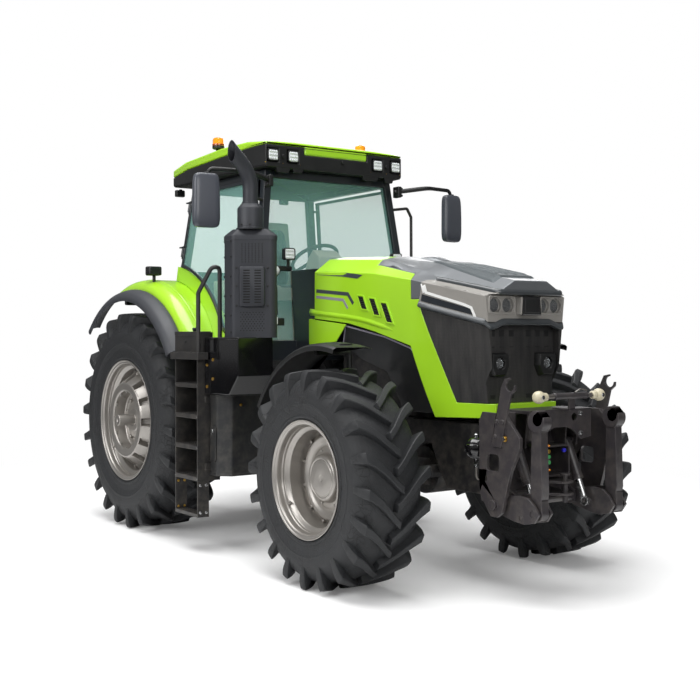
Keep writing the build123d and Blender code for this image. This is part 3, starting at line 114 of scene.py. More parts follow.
def curveThrough(points, steps):
    # Catmull-Rom curve: each span is a cubic between two points whose slopes join their neighbours
    p = np.asarray(points, float)
    p = np.vstack([2 * p[0] - p[1], p, 2 * p[-1] - p[-2]])
    t = np.linspace(0, 1, steps, endpoint=False)[:, None]
    a, b, c, d = (p[i:len(p) - 3 + i, None] for i in range(4))
    spans = 0.5 * (2 * b + (c - a) * t + (2 * a - 5 * b + 4 * c - d) * t ** 2 + (3 * b - a - 3 * c + d)
                   * t ** 3)
    return np.vstack([spans.reshape(-1, p.shape[1]), p[-2:-1]])


def rounded(corners, radius, steps=5, closed=False):
    # corners cut back by the radius and joined by parabolas: (1-t)^2 A + 2t(1-t) P + t^2 B
    p = np.asarray(corners, float)
    before, after = np.roll(p, 1, 0), np.roll(p, -1, 0)
    legA, legB = np.linalg.norm(before - p, axis=1)[:, None], np.linalg.norm(after - p, axis=1)[:, None]
    reach = np.minimum(np.minimum(legA, legB) * 0.49, np.asarray(radius, float).reshape(-1, 1))
    a, b = p + (before - p) * reach / legA, p + (after - p) * reach / legB
    t = np.linspace(0, 1, steps)[None, :, None]
    arcs = (1 - t) ** 2 * a[:, None] + 2 * t * (1 - t) * p[:, None] + t ** 2 * b[:, None]
    if closed:
        return arcs.reshape(-1, p.shape[1])
    return np.vstack([p[:1], arcs[1:-1].reshape(-1, p.shape[1]), p[-1:]])


def turned(profile, centre, start=0, sweep=360, segments=96, closed=False):
    # a (radius, y) profile turned about a line along y through the centre: (r cos a, y, r sin a)
    profile = np.asarray(profile, float)
    full = abs(sweep) >= 360
    a = np.radians(start + sweep * np.arange(segments + (0 if full else 1)) / segments)[:, None]
    r, y = profile[None, :, 0], profile[None, :, 1]
    points = np.stack([r * np.cos(a), y + 0 * a, r * np.sin(a)], -1) + np.array(centre, float)
    return grid(points, wrapU=full, wrapV=closed, caps=closed and not full)


def pipe(path, radius, sides=16, caps=True):
    # a circle of the given radius, or one for each point, carried square to the path
    path = np.asarray(path, float)
    along = np.gradient(path, axis=0)
    along = along / np.linalg.norm(along, axis=1, keepdims=True)
    # measured from the axis that the path turns towards least, so the ring never twists
    away = np.eye(3)[np.abs(along).max(0).argmin()]
    first = np.cross(away, along)
    first = first / np.linalg.norm(first, axis=1, keepdims=True)
    second = np.cross(along, first)
    a = np.linspace(0, 2 * np.pi, sides, endpoint=False)
    ring = np.cos(a)[None, :, None] * first[:, None] + np.sin(a)[None, :, None] * second[:, None]
    return grid(path[:, None] + ring * np.asarray(radius, float).reshape(-1, 1, 1), wrapV=True, caps=caps)


def shaft(start, end, radius, sides=24, edge=1.5):
    # a round bar with its two end edges broken
    start, end = np.array(start, float), np.array(end, float)
    unit = (end - start) / np.linalg.norm(end - start)
    path = np.stack([start, start + unit * edge, end - unit * edge, end])
    return pipe(path, [radius - edge, radius, radius, radius - edge], sides)


def upright(profile, centre=(0, 0), segments=40, closed=False):
    # a (radius, z) profile turned about an upright line
    points, faces = turned(profile, (0, 0, 0), segments=segments, closed=closed)
    return points[:, [0, 2, 1]] + np.array([centre[0], centre[1], 0.0]), faces


def inset(outline, amount):
    # every side of a closed outline moved inwards: corners slide along the mean of their two side normals
    p = np.asarray(outline, float)
    side = np.roll(p, -1, 0) - p
    side = side / np.linalg.norm(side, axis=1, keepdims=True)
    turn = np.sign((p[:, 0] * np.roll(p[:, 1], -1) - p[:, 1] * np.roll(p[:, 0], -1)).sum())
    normal = np.stack([-side[:, 1], side[:, 0]], 1) * turn
    mean = normal + np.roll(normal, 1, 0)
    return p + mean * amount / np.maximum((mean ** 2).sum(1, keepdims=True) / 2, 0.3)


def plate(outline, low, high, axis="y", edge=1.5, lean=None):
    # a closed outline pushed from low to high along an axis, both rims broken by a small chamfer
    near = inset(outline, edge)
    levels = [(near, low), (np.asarray(outline, float), low + edge),
              (np.asarray(outline, float), high - edge), (near, high)]
    order = {"x": (2, 0, 1), "y": (0, 2, 1), "z": (0, 1, 2)}[axis]
    rings = np.stack([np.column_stack([p, np.full(len(p), float(h))])[:, order] for p, h in levels])
    if lean is not None:
        rings[..., 1] += lean(rings)
    return grid(rings, wrapV=True, caps=True)


def block(low, high, edge=2.0):
    # a rectangular block with chamfered edges
    (x0, y0, z0), (x1, y1, z1) = low, high
    e = min(edge, 0.3 * min(x1 - x0, y1 - y0, z1 - z0))
    outline = [(x0, y0), (x0 + e, y0), (x1 - e, y0), (x1, y0 + e), (x1, y1 - e), (x1 - e, y1), (x0 + e, y1),
               (x0, y1 - e), (x0, y0 + e)]
    return plate(outline[1:], z0, z1, "z", e)


def bolt(across, height, washer=True):
    # hexagon head with a chamfered crown, standing on a round washer
    a = np.linspace(0, 2 * np.pi, 12, endpoint=False)
    hexagon = np.cos(np.pi / 6) / np.cos((a + np.pi / 6) % (np.pi / 3) - np.pi / 6) / np.cos(np.pi / 6)
    levels = [(1.25, 0, 0), (1.25, 0.12, 0), (0.98, 0.14, 1), (0.98, 0.85, 1),
              (0.8, 1, 0)] if washer else [(0.98, 0, 1), (0.98, 0.85, 1), (0.8, 1, 0)]
    rings = [np.stack([s * across / 2 * (hexagon if h else 1) * np.cos(a),
                       s * across / 2 * (hexagon if h else 1) * np.sin(a),
                       np.full(12, z * height)], -1) for s, z, h in levels]
    return grid(np.stack(rings), wrapV=True, caps=True)


# from arrays to pieces
def fillMesh(mesh, finishes):
    points, corners, sizes, which, start = [], [], [], [], 0
    for number, (_, bits) in enumerate(finishes):
        for verts, faces in bits:
            points.append(verts)
            for f in faces:
                corners.append((f + start).ravel())
                sizes.append(np.full(len(f), f.shape[1]))
                which.append(np.full(len(f), number))
            start += len(verts)
    points = (np.concatenate(points) + np.array([frontAxleX, 0, 0])) / 1000
    corners, sizes, which = (np.concatenate(a).astype(np.int32) for a in (corners, sizes, which))
    mesh.vertices.add(len(points))
    mesh.vertices.foreach_set("co", points.ravel())
    mesh.loops.add(len(corners))
    mesh.loops.foreach_set("vertex_index", corners)
    mesh.polygons.add(len(sizes))
    mesh.polygons.foreach_set("loop_start", np.concatenate([[0], np.cumsum(sizes)[:-1]]).astype(np.int32))
    mesh.polygons.foreach_set("material_index", which)
    mesh.update(calc_edges=True)
    mesh.validate()


def tidyMesh(mesh, outwards=True, flatten=None):
    work = bmesh.new()
    work.from_mesh(mesh)
    bmesh.ops.remove_doubles(work, verts=work.verts, dist=2e-5)
    if flatten is not None:
        bmesh.ops.dissolve_limit(work, angle_limit=flatten, verts=work.verts, edges=work.edges)
    bmesh.ops.dissolve_degenerate(work, edges=work.edges, dist=1e-6)
    if outwards:
        bmesh.ops.recalc_face_normals(work, faces=work.faces)
    work.to_mesh(mesh)
    work.free()


def dress(mesh, name, body, stands, bevel, angle, segments, wall):
    mesh.polygons.foreach_set("use_smooth", np.ones(len(mesh.polygons), bool))
    mesh.set_sharp_from_angle(angle=math.radians(angle))
    obj = bpy.data.objects.new(name, mesh)
    bpy.context.scene.collection.objects.link(obj)
    if wall:
        solid = obj.modifiers.new("wall", "SOLIDIFY")
        solid.thickness, solid.offset = wall / 1000, -1
    if bevel:
        soft = obj.modifiers.new("edges", "BEVEL")
        soft.width, soft.segments, soft.limit_method = bevel / 1000, segments, "ANGLE"
        soft.angle_limit, soft.use_clamp_overlap, soft.harden_normals = math.radians(angle), False, True
    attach(obj, body)
    if stands:
        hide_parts(*stands)
    return obj


def piece(name, body, finishes, stands=(), bevel=0, angle=32, segments=2, wall=0):
    mesh = bpy.data.meshes.new(name)
    fillMesh(mesh, finishes)
    for material, _ in finishes:
        mesh.materials.append(finish[material])
    tidyMesh(mesh)
    return dress(mesh, name, body, stands, bevel, angle, segments, wall)


def softened(node, body, material, bevel=2.0, angle=28, segments=2):
    # the CAD node's own shape, merged, with its flats made whole again and its sharp edges rounded
    mesh = nodes[node].data.copy()
    mesh.name = node + "_softened"
    mesh.materials.clear()
    mesh.materials.append(finish[material])
    mesh.polygons.foreach_set("material_index", np.zeros(len(mesh.polygons), np.int32))
    if mesh.has_custom_normals:
        with bpy.context.temp_override(object=nodes[node], active_object=nodes[node]):
            mesh.attributes.remove(mesh.attributes["custom_normal"])
    tidyMesh(mesh, outwards=False, flatten=math.radians(0.6))
    return dress(mesh, node + "_softened", body, (node,), bevel, angle, segments, 0)


# finishes
def linear(code):
    # an sRGB hex colour as the linear values that shaders take
    c = np.array([int(code[i:i + 2], 16) for i in (1, 3, 5)]) / 255
    c = np.where(c > 0.04045, ((c + 0.055) / 1.055) ** 2.4, c / 12.92)
    return (*c.tolist(), 1.0)


def addNode(tree, kind, inputs=(), **settings):
    node = tree.nodes.new(kind)
    for key, value in settings.items():
        setattr(node, key, value)
    for key, value in dict(inputs).items():
        if isinstance(value, bpy.types.NodeSocket):
            tree.links.new(value, node.inputs[key])
        else:
            node.inputs[key].default_value = value
    return node


def newMaterial(name):
    # a principled material with its tree, its shader and object coordinates
    material = bpy.data.materials.new(name)
    material.use_nodes = True
    tree = material.node_tree
    where = addNode(tree, "ShaderNodeTexCoord").outputs["Object"]
    return material, tree, tree.nodes["Principled BSDF"], where


def perMetre(size):
    # texture scale at which one feature is this many millimetres across
    return 1000.0 / size


finishLooks = {
    # polyester enamel over pressed sheet: clear, saturated, with a faint waviness and a gloss coat
    "limeEnamel": dict(base="#a4d826", second="#98cc20", patch=420, rough=0.30, coat=0.55, grain=9,
                       depth=0.05, dust=0.05),
    # metallic grey enamel, satin: broad soft highlights on the bonnet top
    "titaniumEnamel": dict(base="#74777a", second="#6b6e71", patch=300, rough=0.38, metallic=0.45, coat=0.2,
                           grain=7, depth=0.05, dust=0.10),
    # warm light grey moulding around the lamps
    "warmGreyMoulding": dict(base="#918e89", second="#888580", patch=160, rough=0.38, coat=0.2, grain=3,
                             depth=0.03, dust=0.08),
    # grey thermoplastic flares: matt, slightly bluish, finely pebbled
    "flarePlastic": dict(base="#36383d", second="#2f3136", patch=240, rough=0.52, grain=3.5, depth=0.12,
                         dust=0.14),
    # black moulded ABS with a leather-like pebble
    "blackAbs": dict(base="#0f1011", second="#151617", patch=150, rough=0.46, grain=3.0, depth=0.12,
                     dust=0.06),
    # dark grey chassis enamel sprayed on cast and welded steel: satin, a little uneven, dusty low down
    "chassisEnamel": dict(base="#272628", second="#201f21", patch=180, rough=0.40, coat=0.15, grain=6,
                          depth=0.10, dust=0.22),
    # cast iron under the same enamel: rougher skin
    "castEnamel": dict(base="#1d1c1e", second="#171618", patch=120, rough=0.55, grain=5, depth=0.35,
                       dust=0.30),
    # gloss black sheet steel box
    "glossBlack": dict(base="#08080a", second="#0d0d10", patch=260, rough=0.14, coat=0.6, grain=30,
                       depth=0.05, dust=0.03),
    # rotationally moulded polyethylene tank: satin with a soft mottle
    "tankPolyethylene": dict(base="#252628", second="#1f2021", patch=90, rough=0.42, grain=4, depth=0.10,
                             dust=0.20),
    # heat-proof paint on the exhaust: blue-grey, dry
    "heatPaint": dict(base="#303238", second="#292b30", patch=140, rough=0.50, metallic=0.2, grain=4,
                      depth=0.10, dust=0.08),
    # silver wheel enamel: fine metallic, warm
    "wheelSilver": dict(base="#a9a5a0", second="#9a9691", patch=130, rough=0.36, metallic=0.75, coat=0.15,
                        grain=5, depth=0.06, dust=0.08),
    # zinc plated and yellow passivated fasteners
    "yellowZinc": dict(base="#c9a552", second="#b08d42", patch=20, rough=0.34, metallic=1.0, grain=2,
                       depth=0.03),
    # bright zinc or chromed steel: pins, ball ends, nuts
    "brightSteel": dict(base="#cfd0d0", second="#b4b5b6", patch=25, rough=0.24, metallic=1.0, grain=2,
                        depth=0.03),
    # bare worked steel with a brown bloom
    "wornSteel": dict(base="#8d8c8a", second="#6f675e", patch=35, rough=0.42, metallic=0.9, grain=3,
                      depth=0.08),
    # beige-grey cab moulding
    "beigeMoulding": dict(base="#b9b7a8", second="#aba99a", patch=120, rough=0.55, grain=2.5, depth=0.10),
    # white painted trim strip
    "whiteEnamel": dict(base="#eeeeec", second="#e4e4e2", patch=120, rough=0.30, coat=0.4, grain=6,
                        depth=0.03),
    # smoke-grey glossy insert under the trim
    "smokeAcrylic": dict(base="#33363a", second="#2c2f33", patch=120, rough=0.16, coat=0.7, grain=20,
                         depth=0.03),
    # stripe films, semi-matt
    "darkFilm": dict(base="#3e444a", second="#383e44", patch=90, rough=0.35, coat=0.3, grain=8, depth=0.02),
    "mauveFilm": dict(base="#8d8896", second="#85808e", patch=90, rough=0.35, coat=0.3, grain=8, depth=0.02),
    # painted shade: near-black that stands in for the shade inside hollows, perforations and mouths
    "paintedShadeBlack": dict(base="#050506", second="#08080a", patch=60, rough=0.8, grain=6, depth=0.05),
    # orange and clear lamp covers, polycarbonate
    "amberLens": dict(base="#f59a16", second="#ef8a0c", patch=20, rough=0.12, coat=0.8, grain=7, depth=0.6),
    "clearLens": dict(base="#dfe3e4", second="#cfd4d6", patch=16, rough=0.10, coat=0.9, grain=8, depth=0.8),
    "redLens": dict(base="#8e1414", second="#7c0e0e", patch=20, rough=0.14, coat=0.8, grain=7, depth=0.5),
    # silvered reflector bowl behind a lamp glass
    "reflector": dict(base="#d9dcde", second="#9aa0a4", patch=22, rough=0.12, metallic=1.0, grain=9,
                      depth=0.9),
    "bluePlastic": dict(base="#2b2bc4", second="#2424ae", patch=20, rough=0.4, grain=3, depth=0.05),
    "greenPlastic": dict(base="#3d9a55", second="#348a4a", patch=20, rough=0.4, grain=3, depth=0.05),
    # darker satin grey of the lip round the bonnet's nose
    "lipEnamel": dict(base="#3c4043", second="#35393c", patch=160, rough=0.32, coat=0.3, grain=6, depth=0.04,
                      dust=0.05),
    # expanded metal under grey enamel on the bonnet's top: a pebbled, dull weave
    "topMesh": dict(base="#3c4245", second="#4a5154", patch=26, rough=0.48, metallic=0.3, grain=3.2,
                    depth=0.9),
    # dark moulding of the shields under the bonnet
    "shieldPlastic": dict(base="#1b1c1e", second="#222325", patch=120, rough=0.42, coat=0.1, grain=4,
                          depth=0.08, dust=0.08),
    # blue-black enamel of the cab's pillars
    "pillarEnamel": dict(base="#20252b", second="#1b2025", patch=220, rough=0.32, coat=0.3, grain=7,
                         depth=0.05, dust=0.06),
    # steps and brackets: brown-black powder coat
    "ladderEnamel": dict(base="#2b2a2a", second="#232222", patch=130, rough=0.42, grain=4, depth=0.08,
                         dust=0.25),
    # front linkage: warm dark grey enamel on flame-cut plate
    "hitchEnamel": dict(base="#353134", second="#2c292b", patch=150, rough=0.40, coat=0.12, grain=5,
                        depth=0.10, dust=0.22),
    # frosted lens of the square work lamps: bright, lightly ribbed
    "ledLens": dict(base="#e9edee", second="#d6dbdd", patch=14, rough=0.22, coat=0.6, grain=6, depth=0.6),
    # blue-grey satin moulding of the mirror shells
    "mirrorShell": dict(base="#4a4d55", second="#3f424a", patch=200, rough=0.34, coat=0.2, grain=4,
                        depth=0.05, dust=0.05),
    # cream stove enamel on the cast ball ends
    "creamEnamel": dict(base="#cfc8ae", second="#bdb498", patch=40, rough=0.42, coat=0.2, grain=4, depth=0.08,
                        dust=0.12),
    "hoseRubber": dict(base="#151516", second="#1c1c1d", patch=30, rough=0.6, grain=3, depth=0.1),
}


def makeFinish(name, base, second, patch, rough, grain, depth, metallic=0.0, coat=0.0, dust=0.0):
    # two close colours drift into each other over patch mm, grain mm of relief catches the light,
    # and road dust gathers towards the ground
    material, tree, shader, where = newMaterial(name)
    drift = addNode(tree, "ShaderNodeTexNoise", {"Vector": where, "Scale": perMetre(patch), "Detail": 4.0})
    colour = addNode(tree, "ShaderNodeMix", {0: drift.outputs["Fac"], 6: linear(base), 7: linear(second)},
                     data_type="RGBA")
    shade = colour.outputs[2]
    relief = addNode(tree, "ShaderNodeTexNoise", {"Vector": where, "Scale": perMetre(grain), "Detail": 3.0})
    if dust:
        height = addNode(tree, "ShaderNodeSeparateXYZ", {"Vector": where}).outputs["Z"]
        low = addNode(tree, "ShaderNodeMapRange", {"Value": height, "From Min": 1.7, "From Max": 0.1,
                                                   "To Min": 0.15, "To Max": 1.0})
        cloud = addNode(tree, "ShaderNodeTexNoise", {"Vector": where, "Scale": perMetre(70), "Detail": 8.0,
                                                     "Roughness": 0.65})
        amount = addNode(tree, "ShaderNodeMapRange", {"Value": cloud.outputs["Fac"], "From Min": 0.42,
                                                      "From Max": 0.72, "To Max": dust})
        much = addNode(tree, "ShaderNodeMath", {0: amount.outputs[0], 1: low.outputs[0]},
                       operation="MULTIPLY")
        shade = addNode(tree, "ShaderNodeMix", {0: much.outputs[0], 6: shade, 7: linear("#8f877a")},
                        data_type="RGBA").outputs[2]
    gloss = addNode(tree, "ShaderNodeMapRange", {"Value": drift.outputs["Fac"], "To Min": rough * 0.82,
                                                 "To Max": min(1.0, rough * 1.22)})
    bump = addNode(tree, "ShaderNodeBump", {"Height": relief.outputs["Fac"], "Strength": 1.0,
                                            "Distance": depth / 1000})
    tree.links.new(shade, shader.inputs["Base Color"])
    tree.links.new(gloss.outputs[0], shader.inputs["Roughness"])
    tree.links.new(bump.outputs["Normal"], shader.inputs["Normal"])
    shader.inputs["Metallic"].default_value = metallic
    if not metallic:
        shader.inputs["IOR"].default_value = 1.5
    shader.inputs["Coat Weight"].default_value = coat
    shader.inputs["Coat Roughness"].default_value = 0.08
    return material


finish = {name: makeFinish(name, **look) for name, look in finishLooks.items()}


def makeTyreRubber():
    # natural rubber with carbon black: matt, with a net of age cracks on the side wall
    material, tree, shader, where = newMaterial("tyreRubber")
    wall = addNode(tree, "ShaderNodeAttribute", attribute_name="sidewall").outputs["Fac"]
    bend = addNode(tree, "ShaderNodeTexNoise", {"Vector": where, "Scale": perMetre(45), "Detail": 3.0})
    push = addNode(tree, "ShaderNodeVectorMath", {0: bend.outputs["Color"], 1: (0.03, 0.03, 0.03)},
                   operation="MULTIPLY")
    bent = addNode(tree, "ShaderNodeVectorMath", {0: where, 1: push.outputs[0]}, operation="ADD").outputs[0]
    cells = addNode(tree, "ShaderNodeTexVoronoi", {"Vector": bent, "Scale": perMetre(42)},
                    feature="DISTANCE_TO_EDGE")
    crack = addNode(tree, "ShaderNodeMapRange", {"Value": cells.outputs["Distance"], "From Min": 0.0,
                                                 "From Max": 0.07, "To Min": 1.0, "To Max": 0.0})
    where2 = addNode(tree, "ShaderNodeTexNoise", {"Vector": where, "Scale": perMetre(180), "Detail": 5.0})
    some = addNode(tree, "ShaderNodeMapRange", {"Value": where2.outputs["Fac"], "From Min": 0.40,
                                                "From Max": 0.56})
    onWall = addNode(tree, "ShaderNodeMath", {0: crack.outputs[0], 1: wall}, operation="MULTIPLY")
    cracks = addNode(tree, "ShaderNodeMath", {0: onWall.outputs[0], 1: some.outputs[0]},
                     operation="MULTIPLY").outputs[0]
    cloud = addNode(tree, "ShaderNodeTexNoise", {"Vector": where, "Scale": perMetre(60), "Detail": 8.0,
                                                 "Roughness": 0.7})
    tone = addNode(tree, "ShaderNodeMix", {0: cloud.outputs["Fac"], 6: linear("#101113"),
                                           7: linear("#232528")}, data_type="RGBA")
    dark = addNode(tree, "ShaderNodeMix", {0: cracks, 6: tone.outputs[2], 7: linear("#020203")},
                   data_type="RGBA")
    tree.links.new(dark.outputs[2], shader.inputs["Base Color"])
    fine = addNode(tree, "ShaderNodeTexNoise", {"Vector": where, "Scale": perMetre(6), "Detail": 5.0})
    down = addNode(tree, "ShaderNodeMath", {0: cracks, 1: -1.4, 2: fine.outputs["Fac"]},
                   operation="MULTIPLY_ADD")
    bump = addNode(tree, "ShaderNodeBump", {"Height": down.outputs[0], "Strength": 0.8, "Distance": 0.0022})
    tree.links.new(bump.outputs["Normal"], shader.inputs["Normal"])
    shader.inputs["Roughness"].default_value = 0.62
    shader.inputs["IOR"].default_value = 1.52
    return material


def makeWireMesh():
    # fine vertical wire mesh behind the grille surround, drawn at 7 mm so that its lines show; the gaps
    # between the wires are darkened towards near black as painted shade
    material, tree, shader, where = newMaterial("grilleMesh")
    axes = addNode(tree, "ShaderNodeSeparateXYZ", {"Vector": where})
    across = addNode(tree, "ShaderNodeMath", {0: axes.outputs["X"], 1: axes.outputs["Y"]}, operation="ADD")
    phase = addNode(tree, "ShaderNodeMath", {0: across.outputs[0], 1: 2 * math.pi * perMetre(7)},
                    operation="MULTIPLY")
    wire = addNode(tree, "ShaderNodeMath", {0: phase.outputs[0]}, operation="SINE")
    rung = addNode(tree, "ShaderNodeMath", {0: axes.outputs["Z"], 1: 2 * math.pi * perMetre(9)},
                   operation="MULTIPLY")
    rungs = addNode(tree, "ShaderNodeMath", {0: rung.outputs[0]}, operation="SINE")
    weave = addNode(tree, "ShaderNodeMath", {0: rungs.outputs[0], 1: 0.35, 2: wire.outputs[0]},
                    operation="MULTIPLY_ADD")
    streak = addNode(tree, "ShaderNodeMapping", {"Vector": where, "Scale": (16.0, 16.0, 2.2)})
    smear = addNode(tree, "ShaderNodeTexNoise", {"Vector": streak.outputs[0], "Scale": 1.0, "Detail": 7.0,
                                                 "Roughness": 0.62})
    level = addNode(tree, "ShaderNodeMapRange", {"Value": smear.outputs["Fac"], "From Min": 0.35,
                                                 "From Max": 0.75})
    tone = addNode(tree, "ShaderNodeMix", {0: level.outputs[0], 6: linear("#2a2a2b"), 7: linear("#4a4846")},
                   data_type="RGBA")
    # painted shade: the gaps between the wires darken towards near black
    gapShade = addNode(tree, "ShaderNodeMapRange", {"Value": weave.outputs[0], "From Min": -0.9, "From Max": 0.4,
                                                "To Min": 0.55, "To Max": 0.0})
    dark = addNode(tree, "ShaderNodeMix", {0: gapShade.outputs[0], 6: tone.outputs[2], 7: linear("#0c0c0d")},
                   data_type="RGBA")
    tree.links.new(dark.outputs[2], shader.inputs["Base Color"])
    bump = addNode(tree, "ShaderNodeBump", {"Height": weave.outputs[0], "Strength": 0.5, "Distance": 0.0008})
    tree.links.new(bump.outputs["Normal"], shader.inputs["Normal"])
    shader.inputs["Roughness"].default_value = 0.5
    shader.inputs["Metallic"].default_value = 0.2
    return material


def makeCabGlass(name, base, second, alpha, rough):
    # toughened glass or a clear lamp cover: mostly see-through, with a faint milky tint, mirror smooth
    material, tree, shader, where = newMaterial(name)
    haze = addNode(tree, "ShaderNodeTexNoise", {"Vector": where, "Scale": perMetre(700), "Detail": 3.0})
    tone = addNode(tree, "ShaderNodeMix", {0: haze.outputs["Fac"], 6: linear(base), 7: linear(second)},
                   data_type="RGBA")
    tree.links.new(tone.outputs[2], shader.inputs["Base Color"])
    shader.inputs["Alpha"].default_value = alpha
    shader.inputs["Roughness"].default_value = rough
    shader.inputs["IOR"].default_value = 1.52
    return material


def makeSeatCloth():
    # woven polyester seat cover: dark, matt, a 5 mm weave drawn coarse enough to show, with a soft sheen
    material, tree, shader, where = newMaterial("seatCloth")
    axes = addNode(tree, "ShaderNodeSeparateXYZ", {"Vector": where})
    waves = []
    for axis in ("X", "Y", "Z"):
        turns = addNode(tree, "ShaderNodeMath", {0: axes.outputs[axis], 1: 2 * math.pi * perMetre(5)},
                        operation="MULTIPLY")
        waves.append(addNode(tree, "ShaderNodeMath", {0: turns.outputs[0]}, operation="SINE").outputs[0])
    pair = addNode(tree, "ShaderNodeMath", {0: waves[0], 1: waves[1]}, operation="MULTIPLY")
    weave = addNode(tree, "ShaderNodeMath", {0: waves[2], 1: waves[1], 2: pair.outputs[0]},
                    operation="MULTIPLY_ADD")
    level = addNode(tree, "ShaderNodeMapRange", {"Value": weave.outputs[0], "From Min": -1.0,
                                                 "From Max": 1.0})
    tone = addNode(tree, "ShaderNodeMix", {0: level.outputs[0], 6: linear("#26272a"), 7: linear("#3a3c40")},
                   data_type="RGBA")
    tree.links.new(tone.outputs[2], shader.inputs["Base Color"])
    bump = addNode(tree, "ShaderNodeBump", {"Height": weave.outputs[0], "Strength": 0.5, "Distance": 0.0006})
    tree.links.new(bump.outputs["Normal"], shader.inputs["Normal"])
    shader.inputs["Roughness"].default_value = 0.9
    shader.inputs["Sheen Weight"].default_value = 0.3
    return material


finish["tyreRubber"] = makeTyreRubber()
finish["grilleMesh"] = makeWireMesh()
finish["tintedGlass"] = makeCabGlass("tintedGlass", "#9fe0d4", "#b2e8de", 0.20, 0.03)
finish["lampGlass"] = makeCabGlass("lampGlass", "#f2f5f7", "#e4e9ec", 0.12, 0.04)
finish["seatCloth"] = makeSeatCloth()
print("finishes made:", len(finish))

# the finish of each CAD node that stays as it is
nodeFinish = {
    "castEnamel": "front_axle knuckle_left knuckle_right rear_axle engine_block gearbox_housing",
    "blackAbs": "front_fender_left front_fender_right roof_base door_frame_left door_frame_right front_lamps "
                "mirrors work_lamps signal_lamps steering_wheel",
    "chassisEnamel": "front_frame ladders handrails cab_frame side_shields hitch_frame front_lift_arms "
                     "front_link_left front_link_right front_cylinders rear_lift_arms rear_lift_rods "
                     "rear_lower_links rear_top_link",
    "tankPolyethylene": "side_tanks",
    "glossBlack": "side_boxes accumulator",
    "limeEnamel": "cab_lower_panels cab_roof rear_fenders bonnet_panels",
    "tintedGlass": "windscreen rear_window door_glass_left door_glass_right",
    "flarePlastic": "fender_flares",
    "titaniumEnamel": "bonnet_top",
    "warmGreyMoulding": "headlamp_band",
    "grilleMesh": "grille",
    "heatPaint": "exhaust",
    "amberLens": "beacons",
    "seatCloth": "seat",
    "beigeMoulding": "dash_column",
    "brightSteel": "front_top_link front_cylinder_rods",
    "wornSteel": "drawbar",
    "tyreRubber": "tyre_front_left tyre_front_right tyre_rear_left tyre_rear_right",
    "wheelSilver": "rim_front_left rim_front_right rim_rear_left rim_rear_right",
}
for finishName, nodeNames in nodeFinish.items():
    for nodeName in nodeNames.split():
        mesh = nodes[nodeName].data
        if not mesh.materials:
            mesh.materials.append(None)
        for number in range(len(mesh.materials)):
            mesh.materials[number] = finish[finishName]


# tyres: a turned carcass, and curved lugs in a chevron that drop over the shoulder
tyreSizes = {
    "front": dict(axle=(0.0, 700.0), track=908, radius=700, width=500, bead=356, beadWidth=448, lugHeight=42,
                  lugs=20),
    "rear": dict(axle=(rearAxleX, 905.0), track=880, radius=905, width=524, bead=483, beadWidth=454,
                 lugHeight=46, lugs=22),
}
lugLine = np.array([
    # base y as a share of the half width, base below tread, top y likewise, top below tip, lag as a share
    # of the lean, half width on top, half width at the foot
    (-0.11, 14, -0.08, 0, -0.03, 22, 33), (0.10, 14, 0.10, 0, 0.17, 23, 33), (0.30, 15, 0.30, 0, 0.43, 25,
            35),
    (0.50, 18, 0.51, 0, 0.70, 27, 37), (0.66, 28, 0.73, 2, 0.92, 29, 39), (0.76, 44, 0.90, 5, 1.05, 31, 41),
    (0.79, 56, 0.945, 11, 1.075, 31, 41), (0.83, 74, 0.99, 46, 1.10, 30, 40), (0.89, 100, 1.0, 92, 1.125, 27,
            37),
    (0.93, 132, 1.0, 140, 1.15, 22, 31), (0.94, 156, 0.97, 166, 1.165, 17, 24)])
lugAcross = np.array([
    # across a lug: share of the foot's half width, share of the top's, height
    (-1, 0, 0), (-0.4, -0.6, 0.5), (-0.08, -0.98, 0.92), (0, -0.84, 1), (0, 0, 1.006), (0, 0.84, 1),
    (0.08, 0.98, 0.92), (0.4, 0.6, 0.5), (1, 0, 0)])


def carcass(radius, width, bead, beadWidth, lugHeight, **_):
    # (y, r) section: bead, rim guard, bulging side wall with two rings, round shoulder, nearly flat tread
    half, tread, b = width / 2, radius - lugHeight, beadWidth / 2
    rise = tread - bead
    side = [(b - 3, bead), (b, bead + 5), (b, bead + 14), (b + 4, bead + 27), (b + 13, bead + 36),
            (b + 18, bead + 45),
            (b + 17, bead + 52), (b + 12, bead + 57), (b + 14, bead + 0.22 * rise),
            (b + 17, bead + 0.30 * rise), (half - 3.5, bead + 0.40 * rise),
            (half - 0.5, bead + 0.415 * rise), (half - 0.5, bead + 0.44 * rise),
            (half - 2.5, bead + 0.455 * rise), (half - 1, bead + 0.55 * rise),
            (half - 5, bead + 0.66 * rise), (0.935 * half, bead + 0.755 * rise),
            (0.87 * half, bead + 0.835 * rise), (0.78 * half, bead + 0.91 * rise),
            (0.66 * half, tread - 13), (0.48 * half, tread - 5), (0.24 * half, tread - 1), (0.0, tread)]
    side = curveThrough(side, 3)
    return np.vstack([side, side[-2::-1] * np.array([-1, 1])])[:, ::-1]


def tyreLugs(radius, width, lugHeight, lugs, **_):
    # each lug: stations along the line carry a low trapezoid whose sides lean out to its foot
    half, tread = width / 2, radius - lugHeight
    baseY, baseR, topY, topR, lag, topHalf, footHalf = curveThrough(lugLine, 2).T[:, :, None]
    footShare, topShare, height = lugAcross.T[:, None]
    offset = footShare * footHalf + topShare * topHalf
    y = half * (baseY + (topY - baseY) * height)
    r = (tread - baseR) + ((radius - topR) - (tread - baseR)) * height
    lean = 0.76 * half / radius
    turn = lag * lean + offset / radius
    pitch = 2 * np.pi / lugs
    bits = []
    for side in (1, -1):
        base = (np.arange(lugs) + (0.5 if side < 0 else 0))[:, None, None] * pitch
        a = base + turn[None]
        points = np.stack([r * np.cos(a), side * y + 0 * a, r * np.sin(a)], -1)
        bits.append(grid(points, wrapV=True, caps=True, flip=side > 0))
    return bits


